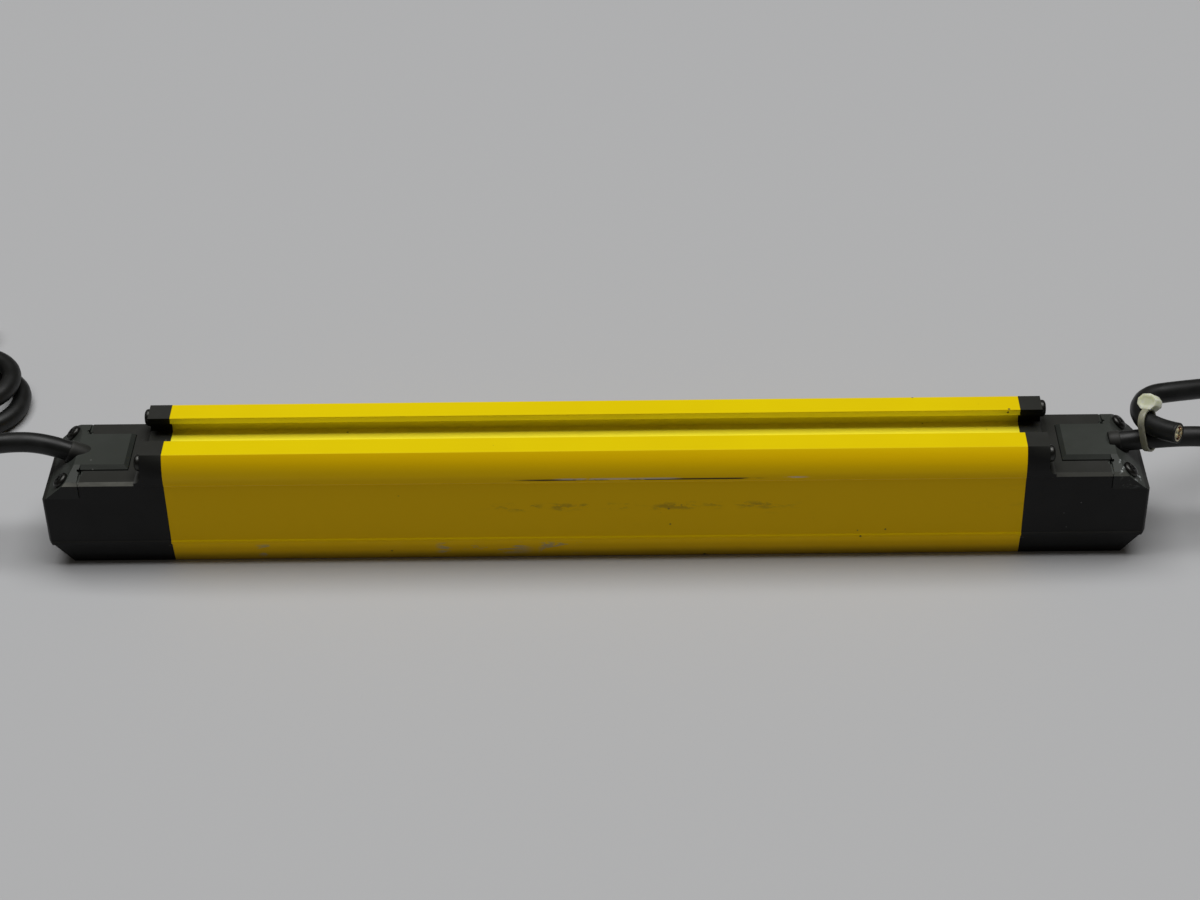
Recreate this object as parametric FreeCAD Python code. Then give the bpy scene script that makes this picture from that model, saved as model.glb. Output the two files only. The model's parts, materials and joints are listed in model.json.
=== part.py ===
import FreeCAD, Part
import math
import os

# Safety light curtain bar, lying on its window with its mounting slot up.
# Origin: middle of the footprint on the surface. X along the bar, Y across it, Z up. Millimetres.

V = FreeCAD.Vector

# Overall sizes
overall_length = 320.0
body_width = 30.0
body_depth = 38.5
cap_length = 36.0

# Housing section
foot_inset = 2.6
ridge_height = 8.0
ridge_lip = 0.9
ridge_band = 0.9
crease_drop = 8.3
label_recess = 0.3
top_inset = 2.7
corner_bulge = 0.85
side_wall = 1.8
slot_web = 1.9

# Mounting slot
slot_opening = 11.0
slot_width = 16.6
slot_depth = 6.3
lip_thickness = 2.0

# Window channel
window_recess = 1.8
window_thickness = 2.4
window_seal_height = 1.0
window_seal_width = 1.0
window_side_wall = 0.6
window_groove_depth = 1.6
window_shelf = 1.2
window_end_gap = 7.6

# Optics
beam_pitch = 10.0
beam_end_margin = 10.0
lens_diameter = 8.8
lens_sag = 1.3
lens_plate = 1.4
holder_entry_diameter = 7.6
holder_throat_diameter = 4.0
diode_size = 2.4
diode_height = 1.2
diode_pocket_depth = 1.6
diode_dome_diameter = 1.9
diode_dome_height = 1.0
diode_tip_diameter = 0.8
optics_end_gap = 4.6
slide_clearance = 0.2

# Circuit boards
board_thickness = 1.6
board_spacing = 5.4
board_side_gap = 0.6
control_board_length = 150.0
parts_room = 4.6
board_link_inset = 25.0
board_link_length = 16.0
board_link_width = 5.0

# Parts on the control board
chip_count = 3
chip_size = 12.0
chip_height = 1.6
chip_inset = 23.0
chip_pitch = 26.0
can_count = 3
can_diameter = 6.0
can_headroom = 1.0
can_inset = 33.0
can_pitch = 9.0
can_offset = 5.0
driver_length = 7.0
driver_width = 4.0
driver_height = 1.2

# Cap
lip_block_length = 6.4
step_radius = 2.1
plateau_drop = 8.1
plateau_chamfer = 0.9
slope_run = 7.7
slope_drop = 6.6
end_radius = 2.0
bottom_chamfer_run = 6.2
bottom_chamfer_height = 9.5
end_wall = 3.4
gasket_width = 1.0
gasket_thickness = 1.0

# Connector block
tongue_width = 17.0
tongue_length = 13.7
tongue_gap = 4.6
tongue_chamfer = 1.1
block_rise = 1.4
tongue_depth = 3.6
seat_floor_thickness = 1.0
block_seal_thickness = 0.8
block_parting_drop = 5.4
block_toe = 1.5
wing_gap_width = 0.6
wing_gap_depth = 0.6
relief_diameter = 1.8
relief_depth = 1.5
neck_width = 13.6
neck_length = 11.6
neck_gap = 0.7
neck_wall = 1.2
fit_clearance = 0.15

# Contacts between connector block and board
header_width = 8.0
header_height = 2.4
header_clearance = 0.3
pin_size = 0.6
pin_pitch = 2.0
pin_row_pitch = 3.0
pin_rows = 2
pin_columns = 4
pin_height = 4.0
pin_root = 0.5

# Indicator light pipes
light_pipe_diameter = 2.0
light_pipe_offset = 7.6
light_pipe_count = 3
light_pipe_lens_gap = 0.1

# Posts between the boards
post_inset_x = 10.0
post_inset_y = 3.4
post_diameter = 4.5

# Screws
cap_screw_offset = 2.7
cap_screw_drop = 3.5
port_diameter = 2.6
screw_shank_diameter = 2.5
screw_hole_diameter = 3.0
screw_head_diameter = 5.0
screw_head_height = 1.8
cap_screw_length = 16.0
block_screw_side_inset = 3.5
block_screw_inset = 6.0
block_screw_length = 9.0
block_screw_head_height = 1.4
screw_head_bevel = 0.6
recess_span = 2.6
recess_slot = 0.7
recess_depth = 0.8
boss_width = 4.1
boss_floor_gap = 0.4
boss_screw_fit = 0.1

# Cables
cable_diameter = 6.0
gland_wall = 0.6
gland_length = 2.8
gland_inset = 7.6
gland_rise = 0.4
gland_lean_left = 26.0
gland_lean_right = 7.0
cable_fit = 0.05

# Share of the shorter run beside a bend that its arc may take
bend_share = 0.45

# Cable routes: points along each cable, in order from its gland
left_route = [
    (-151.33, 0.0, 30.28),
    (-159.2, 0.0, 34.13),
    (-171.0, -0.5, 35.3),
    (-187.0, -1.8, 32.6),
    (-205.0, -2.6, 24.0),
    (-223.0, -3.2, 13.0),
    (-243.0, -3.6, 5.0),
    (-266.0, -1.5, 3.0),
    (-283.0, 9.0, 3.0),
    (-291.0, 28.0, 3.0),
    (-291.0, 48.0, 3.0),
    (-287.0, 60.0, 3.0),
]
tail_route = [
    (-281.0, 79.5, 11.2),
    (-270.0, 84.5, 10.6),
    (-258.0, 91.0, 9.0),
    (-247.0, 95.5, 7.3),
    (-237.0, 97.5, 7.3),
]
right_route = [
    (151.2, 0.0, 30.65),
    (160.0, 0.0, 31.73),
    (175.0, 0.4, 32.4),
    (193.0, 1.2, 29.6),
    (212.0, 1.0, 19.0),
    (232.0, 0.4, 8.0),
    (252.0, 1.5, 3.1),
    (270.0, 14.0, 3.0),
    (276.5, 35.0, 3.0),
    (269.5, 55.0, 3.0),
    (251.0, 66.0, 4.0),
    (230.0, 63.5, 9.5),
    (213.0, 50.0, 20.0),
    (199.0, 34.0, 30.0),
    (186.0, 22.0, 35.2),
    (171.0, 17.0, 36.6),
    (161.5, 14.8, 36.9),
    (157.2, 7.0, 37.2),
    (160.4, -1.6, 38.2),
    (169.0, -5.4, 38.5),
]

# Hank of the left cable, tied in the middle, lying behind the bar
hank_right_end = -180.6
hank_left_end = -294.0
hank_middle_y = 65.0
hank_lobe_width = 39.0
hank_lobe_height = 14.4
hank_waist_width = 13.4
hank_height = 18.0
hank_tie_width = 4.0
hank_tie_thickness = 1.2
hank_tie_head_length = 5.6
hank_tie_head_width = 6.0
hank_tie_head_height = 4.0
hank_tie_fit = 0.1

# Round plug on the left cable's far end
plug_length = 22.0
plug_diameter = 12.5
plug_taper_length = 8.0
plug_taper_wall = 1.0
spigot_diameter = 8.6
spigot_setback = 2.0
nut_diameter = 14.6
nut_bore_diameter = 9.2
nut_length = 13.0
nut_gap = 0.2
nut_groove_count = 12
nut_groove_diameter = 1.6
nut_groove_length = 7.8
plug_pin_count = 8
plug_pin_circle = 5.5
plug_pin_diameter = 1.0
plug_pin_length = 5.0

# Nylon tie that holds the right cable's folded stub
tie_cable_centre = (161.26, 0.05, 31.85)
tie_stub_centre = (159.57, 0.62, 37.94)
tie_normal = (0.796, -0.5445, 0.2643)
tie_loop_radius = 4.05
tie_clearance = 0.15
tie_width = 2.3
tie_thickness = 1.1
tie_head_angle = 49.0
tie_head_width = 5.8
tie_head_length = 5.2
tie_head_height = 3.8
tie_head_bevel = 1.2

# Cores at the stub's cut end
core_count = 5
core_diameter = 1.2
core_circle = 3.0
core_length = 1.4

# How far a cutting block runs past the faces that it cuts
past = 1.0

# Values worked out from the sizes above
half_length = overall_length / 2
body_half = half_length - cap_length
half_width = body_width / 2
foot_half = half_width - foot_inset
top_half = half_width - top_inset
crease_height = body_depth - crease_drop
slot_floor = body_depth - slot_depth
plateau_height = body_depth - plateau_drop
slope_end_height = plateau_height - slope_drop
slope_start = half_length - slope_run
slope_angle = math.atan2(slope_drop, slope_run)

groove_half = foot_half - window_side_wall
window_clear_half = groove_half - window_groove_depth
throat_half = groove_half - window_seal_width
window_half_length = half_length - window_end_gap
window_top = window_recess + window_thickness
groove_top = window_top + window_seal_height
cavity_floor = groove_top + window_shelf
cavity_roof = slot_floor - slot_web
cavity_half = half_width - label_recess - side_wall

lens_face = cavity_floor + lens_sag
lens_back = lens_face + lens_plate
control_top = cavity_roof - parts_room
control_floor = control_top - board_thickness
board_top = control_floor - board_spacing
holder_top = board_top - board_thickness
optics_half_length = half_length - optics_end_gap
board_half = cavity_half - board_side_gap
beam_count = int((overall_length - 2 * beam_end_margin) / beam_pitch) + 1

step_x = body_half + lip_block_length
tongue_start = step_x + tongue_gap
head_start = tongue_start + tongue_length
neck_start = head_start - neck_length
block_top = plateau_height + block_rise
block_seat_height = block_top - tongue_depth
block_seal_top = block_seat_height + block_seal_thickness
block_parting_height = plateau_height - block_parting_drop
cap_roof = block_seat_height - seat_floor_thickness
neck_bottom = board_top + neck_gap
socket_roof = board_top + header_height + pin_height + header_clearance

cap_screw_y = slot_width / 2 + cap_screw_offset
cap_screw_z = body_depth - cap_screw_drop
block_screw_y = half_width - block_screw_side_inset
gland_height = plateau_height + gland_rise
cable_radius = cable_diameter / 2


def box(x0, x1, y0, y1, z0, z1):
    """Block between two corners."""
    return Part.makeBox(x1 - x0, y1 - y0, z1 - z0, V(x0, y0, z0))


def wide_box(x0, x1, half, z0, z1):
    """Block centred on the bar's middle plane."""
    return box(x0, x1, -half, half, z0, z1)


def side_box(x0, x1, side, inner, outer, z0, z1):
    """Block on one side of the middle plane, between two distances from it."""
    low, high = sorted((side * inner, side * outer))
    return box(x0, x1, low, high, z0, z1)


def post(x, y, diameter, z0, height):
    """Upright round bar that stands at a height."""
    return rod(diameter, height, V(x, y, z0), V(0, 0, 1))


def rod(diameter, length, base, direction):
    """Round bar from a base point along a direction."""
    return Part.makeCylinder(diameter / 2, length, base, direction)


def prism(corners, direction):
    """Flat outline with straight sides pushed along a direction."""
    return Part.Face(Part.makePolygon(corners + corners[:1])).extrude(direction)


def other_end(shape):
    """The same shape at the left end of the bar."""
    return shape.mirror(V(0, 0, 0), V(1, 0, 0))


def joined(shapes):
    """One solid from solids that overlap or touch."""
    return shapes[0].fuse(shapes[1:]).removeSplitter()


def save(name, *solids):
    """Write one sub-part, of one solid or several."""
    shape = solids[0] if len(solids) == 1 else Part.makeCompound(list(solids))
    shape.exportStep(os.path.join("parts", name + ".step"))
    print(name, len(shape.Solids), "solids", round(shape.Volume, 1), "mm3", "valid", shape.isValid())


def section_side(x, side):
    """Edges of one side of the housing's outline, from its foot to its top flat."""
    ridge_top = ridge_height + ridge_band
    label_half = half_width - label_recess
    label_top = crease_height - ridge_band
    corners = [
        V(x, side * foot_half, 0),
        V(x, side * (half_width - ridge_lip), ridge_height - label_recess),
        V(x, side * half_width, ridge_height),
        V(x, side * half_width, ridge_top),
        V(x, side * label_half, ridge_top + label_recess),
        V(x, side * label_half, label_top - label_recess),
        V(x, side * half_width, label_top),
        V(x, side * half_width, crease_height),
    ]
    edges = [Part.LineSegment(a, b).toShape() for a, b in zip(corners, corners[1:])]
    crease = corners[-1]
    flat = V(x, side * top_half, body_depth)
    chord = flat - crease
    outward = V(0, side * chord.z, -side * chord.y)
    bulge = (crease + flat) * 0.5 + outward.normalize() * corner_bulge
    edges.append(Part.Arc(crease, bulge, flat).toShape())
    return edges


def housing_form(x0, x1):
    """The housing's outer form between two stations, with nothing cut out."""
    near = section_side(x0, -1)
    far = section_side(x0, 1)
    sole = Part.LineSegment(V(x0, -foot_half, 0), V(x0, foot_half, 0)).toShape()
    crown = Part.LineSegment(V(x0, -top_half, body_depth), V(x0, top_half, body_depth)).toShape()
    outline = Part.Wire(Part.__sortEdges__(near + far + [sole, crown]))
    return Part.Face(outline).extrude(V(x1 - x0, 0, 0))


def slot_space(x0, x1):
    """Space of the T-slot in the back."""
    mouth = wide_box(x0, x1, slot_opening / 2, slot_floor, body_depth + past)
    undercut = wide_box(x0, x1, slot_width / 2, slot_floor, body_depth - lip_thickness)
    return [mouth, undercut]


def window_space(x0, x1):
    """Space of the recess, groove and throat that hold the window."""
    recess = wide_box(x0, x1, window_clear_half, -past, window_top)
    groove = wide_box(x0, x1, groove_half, window_recess, groove_top)
    throat = wide_box(x0, x1, throat_half, window_top, cavity_floor + past)
    return [recess, groove, throat]


def cap_screw_axes():
    """The sides and height of the two screws that hold each cap."""
    return [(side * cap_screw_y, cap_screw_z) for side in (-1, 1)]


def housing_extrusion():
    """Yellow aluminium profile with its slot, cavity, window channel and screw ports."""
    cavity = wide_box(-body_half, body_half, cavity_half, cavity_floor, cavity_roof)
    starts = [V(-body_half, y, z) for y, z in cap_screw_axes()]
    ports = [rod(port_diameter, 2 * body_half, start, V(1, 0, 0)) for start in starts]
    spaces = [cavity] + ports + slot_space(-body_half, body_half) + window_space(-body_half, body_half)
    return housing_form(-body_half, body_half).cut(spaces)


def front_window():
    """Clear window that slides into the channel."""
    half = groove_half - slide_clearance
    return wide_box(-window_half_length, window_half_length, half, window_recess, window_top)


def window_seals():
    """Rubber strips pressed between window and groove, one a side."""
    outer = groove_half - slide_clearance
    end = window_half_length
    return [side_box(-end, end, side, throat_half, outer, window_top, groove_top) for side in (-1, 1)]


def beam_places():
    """Stations of the beams along the bar."""
    first = -beam_pitch * (beam_count - 1) / 2
    return [first + beam_pitch * k for k in range(beam_count)]


def light_pipe_places():
    """Stations of the indicator light pipes, between the first beams of the left end."""
    first = beam_places()[0] + beam_pitch / 2
    return [first + beam_pitch * k for k in range(light_pipe_count)]


def lens_strip():
    """Moulded strip with a lens for each beam, bulging towards the window."""
    half = optics_half_length
    plate = wide_box(-half, half, throat_half - slide_clearance, lens_face, lens_back)
    ball_radius = ((lens_diameter / 2) ** 2 + lens_sag**2) / (2 * lens_sag)
    zone = wide_box(-half, half, lens_diameter, cavity_floor, lens_face + lens_plate / 2)
    balls = [Part.makeSphere(ball_radius, V(x, 0, cavity_floor + ball_radius)) for x in beam_places()]
    return joined([plate] + [ball.common(zone) for ball in balls])


def aperture_holder():
    """Black optics holder that stands on the channel's shelves, with a funnel behind each lens."""
    half = optics_half_length
    body = wide_box(-half, half, cavity_half - slide_clearance, cavity_floor, holder_top)
    seat = wide_box(-half - past, half + past, throat_half, cavity_floor - past, lens_back)
    funnel_height = holder_top - lens_back - diode_pocket_depth
    pocket_floor = lens_back + funnel_height
    entry = holder_entry_diameter / 2
    throat = holder_throat_diameter / 2
    funnels = [Part.makeCone(entry, throat, funnel_height, V(x, 0, lens_back)) for x in beam_places()]
    pockets = [post(x, 0, holder_throat_diameter, pocket_floor, diode_pocket_depth) for x in beam_places()]
    guide_diameter = light_pipe_diameter + 2 * fit_clearance
    guide_height = holder_top - lens_face
    side = light_pipe_offset
    guides = [post(x, side, guide_diameter, lens_face, guide_height) for x in light_pipe_places()]
    return body.cut([seat] + funnels + pockets + guides)


def light_pipes():
    """Clear rods that carry the indicators' light to the lens strip."""
    base = lens_back + light_pipe_lens_gap
    height = holder_top - base
    return [post(x, light_pipe_offset, light_pipe_diameter, base, height) for x in light_pipe_places()]


def emitter_board():
    """Long circuit board on the back of the optics holder."""
    return wide_box(-optics_half_length, optics_half_length, board_half, holder_top, board_top)


def beam_diodes():
    """One emitter or detector diode for each beam, with a small lens."""
    half = diode_size / 2
    base = holder_top - diode_height
    tip = base - diode_dome_height
    tip_radius = diode_tip_diameter / 2
    dome_radius = diode_dome_diameter / 2
    diodes = []
    for x in beam_places():
        case = box(x - half, x + half, -half, half, base, holder_top)
        dome = Part.makeCone(tip_radius, dome_radius, diode_dome_height, V(x, 0, tip))
        diodes.append(joined([case, dome]))
    return diodes


def board_spacers():
    """Four round posts between the two boards."""
    dx = control_board_length / 2 - post_inset_x
    dy = cavity_half - post_inset_y
    corners = [(sx * dx, sy * dy) for sx in (-1, 1) for sy in (-1, 1)]
    return [post(x, y, post_diameter, board_top, board_spacing) for x, y in corners]


def control_board():
    """Shorter circuit board carried on the spacers."""
    half = control_board_length / 2
    return wide_box(-half, half, board_half, control_floor, control_top)


def control_parts():
    """Chips, drivers and capacitors on the control board."""
    end = control_board_length / 2
    chips = [
        block_on_board(-end + chip_inset + chip_pitch * k, 0, chip_size, chip_size, chip_height)
        for k in range(chip_count)
    ]
    can_height = parts_room - can_headroom
    can_places = [end - can_inset - can_pitch * k for k in range(can_count)]
    cans = [post(x, can_offset, can_diameter, control_top, can_height) for x in can_places]
    drivers = [
        block_on_board(x, -can_offset, driver_length, driver_width, driver_height) for x in can_places
    ]
    return chips + cans + drivers


def block_on_board(x, y, length, width, height):
    """One flat component on the control board."""
    low = V(x - length / 2, y - width / 2, control_top)
    return Part.makeBox(length, width, height, low)


def board_link():
    """Pin header that joins the two boards."""
    x = control_board_length / 2 - board_link_inset
    reach = board_link_length / 2
    return wide_box(x - reach, x + reach, board_link_width / 2, board_top, control_floor)


def cap_side_profile():
    """Outline of a cap seen from the side, as a block across the whole width."""
    fillet_top = plateau_height + step_radius
    fillet_end = step_x + step_radius
    corners = [
        V(body_half, 0, 0),
        V(half_length - bottom_chamfer_run, 0, 0),
        V(half_length, 0, bottom_chamfer_height),
        V(half_length, 0, slope_end_height),
        V(slope_start, 0, plateau_height),
        V(fillet_end, 0, plateau_height),
    ]
    edges = [Part.LineSegment(a, b).toShape() for a, b in zip(corners, corners[1:])]
    middle = V(fillet_end, 0, fillet_top) - V(1, 0, 1).normalize() * step_radius
    step_foot = V(step_x, 0, fillet_top)
    edges.append(Part.Arc(corners[-1], middle, step_foot).toShape())
    rest = [step_foot, V(step_x, 0, body_depth), V(body_half, 0, body_depth), corners[0]]
    edges += [Part.LineSegment(a, b).toShape() for a, b in zip(rest, rest[1:])]
    face = Part.Face(Part.Wire(edges))
    face.translate(V(0, -half_width - past, 0))
    return face.extrude(V(0, 2 * (half_width + past), 0))


def cap_plan_profile():
    """Outline of a cap seen from above, with rounded end corners, as a tall block."""
    block = wide_box(body_half, half_length, half_width, -past, body_depth + past)
    ends = [edge for edge in block.Edges if edge.BoundBox.XMin > half_length - past]
    corners = [edge for edge in ends if edge.BoundBox.YLength < past]
    return block.makeFillet(end_radius, corners)


def chamfer_cutters():
    """Wedges that take the sharp edge off the plateau's long sides."""
    start = step_x + step_radius
    cutters = []
    for side in (-1, 1):
        outer = side * (half_width + past)
        corners = [
            V(start, side * (half_width - plateau_chamfer), plateau_height),
            V(start, outer, plateau_height - plateau_chamfer - past),
            V(start, outer, plateau_height),
        ]
        cutters.append(prism(corners, V(half_length - start, 0, 0)))
    return cutters


def gasket_frame():
    """Flat three-sided frame round the cavity's mouth, at the joint between housing and cap."""
    x0 = body_half
    x1 = body_half + gasket_thickness
    frame = wide_box(x0, x1, cavity_half + gasket_width, cavity_floor, cavity_roof + gasket_width)
    return frame.cut(wide_box(x0 - past, x1 + past, cavity_half, cavity_floor - past, cavity_roof))


def slope_normal():
    """Direction that stands on the sloped end face."""
    return V(math.sin(slope_angle), 0, math.cos(slope_angle))


def slope_point(inset, y):
    """Point on the sloped face, a distance back from the cap's end."""
    return V(half_length - inset, y, slope_end_height + inset * math.tan(slope_angle))


def block_screw_rod(side, diameter, length):
    """Round bar on the axis of one connector screw, from above its head down into the cap."""
    above = 2 * block_screw_head_height
    top = slope_point(block_screw_inset, side * block_screw_y) + slope_normal() * above
    return rod(diameter, length + above, top, slope_normal() * -1)


def cap_bosses():
    """Blocks on the cap's side walls that the connector screws bite into."""
    end = half_length - end_wall
    start = end - block_screw_length - past
    floor = board_top + boss_floor_gap
    inner = cavity_half - boss_width
    return [
        side_box(start, end + past, side, inner, cavity_half + past, floor, block_parting_height)
        for side in (-1, 1)
    ]


def block_seat():
    """Spaces in the cap's top that take the connector block's tongue, neck and head."""
    half = tongue_width / 2 + fit_clearance
    start = tongue_start - fit_clearance
    tongue = wide_box(start, head_start + past, half, block_seat_height, plateau_height + past)
    neck_half = neck_width / 2 + fit_clearance
    neck = wide_box(
        neck_start - fit_clearance, head_start + past, neck_half, cap_roof - past, block_seat_height + past
    )
    toe = half_length - block_toe
    head = wide_box(head_start, toe, half_width + past, block_parting_height, plateau_height + past)
    return [tongue, neck, head]


def wing_gaps():
    """Shallow gaps between the cap's plateau and the head's wings, deeper at the inner corners."""
    x0 = head_start - wing_gap_width / 2
    x1 = x0 + wing_gap_width
    inner = tongue_width / 2 + fit_clearance
    outer = half_width + past
    floor = plateau_height - wing_gap_depth
    relief_floor = plateau_height - relief_depth
    gaps = []
    for side in (-1, 1):
        y = side * (inner + relief_diameter / 2)
        gaps.append(side_box(x0, x1, side, inner, outer, floor, block_top + past))
        gaps.append(post(head_start, y, relief_diameter, relief_floor, relief_depth + past))
    return gaps


def end_cap():
    """Black moulded cap of the right end, hollow, with its slot, seats and bosses."""
    solid = housing_form(body_half, half_length).common(cap_side_profile()).common(cap_plan_profile())
    hollow = wide_box(body_half - past, half_length - end_wall, cavity_half, cavity_floor, cap_roof)
    screw_holes = [
        rod(screw_hole_diameter, lip_block_length + 2 * past, V(body_half - past, y, z), V(1, 0, 0))
        for y, z in cap_screw_axes()
    ]
    thread_diameter = screw_shank_diameter + boss_screw_fit
    boss_holes = [block_screw_rod(side, thread_diameter, block_screw_length + past) for side in (-1, 1)]
    cuts = [hollow, gasket_frame()] + screw_holes + block_seat() + wing_gaps() + chamfer_cutters()
    cuts += slot_space(body_half - past, step_x + step_radius)
    cuts += window_space(body_half - past, window_half_length + slide_clearance)
    shell = solid.cut(cuts)
    return joined([shell] + [boss.common(solid) for boss in cap_bosses()]).cut(boss_holes)


def block_crown(x0, x1):
    """Cross-section of the connector block's head: flat in the middle, falling to the cap's sides."""
    shoulder = half_width - plateau_chamfer
    crest = tongue_width / 2 - tongue_chamfer
    corners = [
        V(x0, -half_width, block_parting_height),
        V(x0, -half_width, plateau_height - plateau_chamfer),
        V(x0, -shoulder, plateau_height),
        V(x0, -crest, block_top),
        V(x0, crest, block_top),
        V(x0, shoulder, plateau_height),
        V(x0, half_width, plateau_height - plateau_chamfer),
        V(x0, half_width, block_parting_height),
    ]
    return prism(corners, V(x1 - x0, 0, 0))


def tongue_form():
    """The connector block's tongue, with its three free top edges chamfered."""
    half = tongue_width / 2
    shoulder = block_top - tongue_chamfer
    crest = half - tongue_chamfer
    end = head_start + past
    outline = [
        V(tongue_start, -half, block_seal_top),
        V(tongue_start, -half, shoulder),
        V(tongue_start, -crest, block_top),
        V(tongue_start, crest, block_top),
        V(tongue_start, half, shoulder),
        V(tongue_start, half, block_seal_top),
    ]
    wedge = [
        V(tongue_start, -half - past, shoulder),
        V(tongue_start + tongue_chamfer, -half - past, block_top),
        V(tongue_start, -half - past, block_top),
    ]
    return prism(outline, V(end - tongue_start, 0, 0)).cut(prism(wedge, V(0, 2 * (half + past), 0)))


def slope_cutter():
    """Everything beyond the sloped end face, across the whole width."""
    width = half_width + past
    reach = 2 * slope_run
    top = slope_point(reach, -width)
    low = slope_point(-reach, -width)
    corners = [top, V(low.x, -width, top.z), low]
    return prism(corners, V(0, 2 * width, 0))


def gland_direction(lean):
    """Direction in which a cable leaves the right end."""
    angle = math.radians(lean)
    return V(math.cos(angle), 0, math.sin(angle))


def gland_base(lean):
    """Inner end of a gland, on the cable's line."""
    return V(half_length - gland_inset, 0, gland_height) - gland_direction(lean) * (gland_length / 2)


def connector_block(lean):
    """T-shaped plug-in block of the right end, with its neck, socket, cable hole and screw holes."""
    head = block_crown(head_start + fit_clearance, half_length - block_toe).common(cap_plan_profile())
    head = head.cut(slope_cutter())
    neck = wide_box(neck_start, head_start + past, neck_width / 2, neck_bottom, block_seal_top + past)
    body = joined([tongue_form(), head, neck])
    socket_half = header_width / 2 + header_clearance
    socket_start = neck_start + neck_wall
    socket = wide_box(socket_start, head_start - neck_wall, socket_half, neck_bottom - past, socket_roof)
    seat_diameter = cable_diameter + 2 * (gland_wall + cable_fit)
    gland_seat = rod(seat_diameter, 3 * gland_length, gland_base(lean), gland_direction(lean))
    screw_holes = [block_screw_rod(side, screw_hole_diameter, 2 * block_screw_length) for side in (-1, 1)]
    return body.cut([socket, gland_seat] + wing_gaps() + screw_holes)


def contact_header():
    """Pin header on the board under the right connector block."""
    inset = neck_wall + header_clearance
    x0 = neck_start + inset
    x1 = head_start - inset
    base_top = board_top + header_height
    base = wide_box(x0, x1, header_width / 2, board_top, base_top)
    middle = (x0 + x1) / 2
    half = pin_size / 2
    pins = []
    for row in range(pin_rows):
        for column in range(pin_columns):
            x = middle + (column - (pin_columns - 1) / 2) * pin_pitch
            y = (row - (pin_rows - 1) / 2) * pin_row_pitch
            low = V(x - half, y - half, base_top - pin_root)
            pins.append(Part.makeBox(pin_size, pin_size, pin_root + pin_height, low))
    return joined([base] + pins)


def connector_seal():
    """Flat rubber seal under the tongue of the right connector block."""
    end = head_start - fit_clearance
    plate = wide_box(tongue_start, end, tongue_width / 2, block_seat_height, block_seal_top)
    neck_half = neck_width / 2 + fit_clearance
    low = block_seat_height - past
    hole = wide_box(neck_start - fit_clearance, head_start + past, neck_half, low, block_seal_top + past)
    return plate.cut(hole)


def driver_recess(centre, direction):
    """Cross recess in a screw head, as two crossing slots."""
    span = recess_span / 2
    slot = recess_slot / 2
    arms = [box(-x, x, -y, y, -recess_depth, past) for x, y in ((span, slot), (slot, span))]
    cross = joined(arms)
    cross.Placement = FreeCAD.Placement(centre, FreeCAD.Rotation(V(0, 0, 1), direction))
    return cross


def pan_screw(seat, direction, length, head_height):
    """Screw with a bevelled head that stands on its seat and a plain shank behind it."""
    shank = rod(screw_shank_diameter, length, seat, direction * -1)
    rim_height = head_height - screw_head_bevel
    rim = rod(screw_head_diameter, rim_height, seat, direction)
    radius = screw_head_diameter / 2
    crown_base = seat + direction * rim_height
    crown = Part.makeCone(radius, radius - screw_head_bevel, screw_head_bevel, crown_base, direction)
    return joined([shank, rim, crown]).cut(driver_recess(seat + direction * head_height, direction))


def cap_screws():
    """Two screws that pull the right cap onto the housing."""
    seats = [V(step_x, y, z) for y, z in cap_screw_axes()]
    return [pan_screw(seat, V(1, 0, 0), cap_screw_length, screw_head_height) for seat in seats]


def connector_screws():
    """Two screws that hold the right connector block on its slope."""
    seats = [slope_point(block_screw_inset, side * block_screw_y) for side in (-1, 1)]
    return [pan_screw(seat, slope_normal(), block_screw_length, block_screw_head_height) for seat in seats]


def cable_gland(lean):
    """Rubber collar round the cable where it leaves the right connector block."""
    direction = gland_direction(lean)
    base = gland_base(lean)
    collar = rod(cable_diameter + 2 * gland_wall, gland_length, base, direction)
    bore = rod(cable_diameter + 2 * cable_fit, gland_length + 2 * past, base - direction * past, direction)
    return collar.cut(bore)


def arc_radius(before, corner, after):
    """Radius of the arc that rounds one corner of a route."""
    run = min((corner - before).Length, (after - corner).Length)
    turn = (corner - before).getAngle(after - corner)
    return bend_share * run / math.tan(turn / 2)


def tube_line(route):
    """A cable's centre line: straight runs joined by tangent arcs, with the radii of the arcs."""
    points = [V(*p) for p in route]
    edges = []
    start = points[0]
    radii = []
    for before, corner, after in zip(points, points[1:], points[2:]):
        radius = arc_radius(before, corner, after)
        turn = (corner - before).getAngle(after - corner)
        reach = radius * math.tan(turn / 2)
        back = (before - corner).normalize()
        on = (after - corner).normalize()
        first = corner + back * reach
        last = corner + on * reach
        bisector = (back + on).normalize()
        middle = corner + bisector * (radius / math.cos(turn / 2) - radius)
        edges.append(Part.LineSegment(start, first).toShape())
        edges.append(Part.Arc(first, middle, last).toShape())
        start = last
        radii.append(radius)
    edges.append(Part.LineSegment(start, points[-1]).toShape())
    return Part.Wire(edges), radii


def sweep(route, diameter):
    """Round bar swept along a cable's centre line."""
    spine, radii = tube_line(route)
    start = V(*route[0])
    ring = Part.Wire(Part.makeCircle(diameter / 2, start, V(*route[1]) - start))
    return Part.Solid(spine.makePipeShell([ring], True, False))


def tube(name, route, diameter):
    """One cable as a solid, with its radii, length and volume printed."""
    spine, radii = tube_line(route)
    solid = sweep(route, diameter)
    print(name, "radii in diameters", [round(r / diameter, 1) for r in radii])
    share = solid.Volume / (math.pi * diameter**2 / 4 * spine.Length)
    print(name, "length", round(spine.Length, 1), "volume against section times length", round(share, 4))
    return solid


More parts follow.
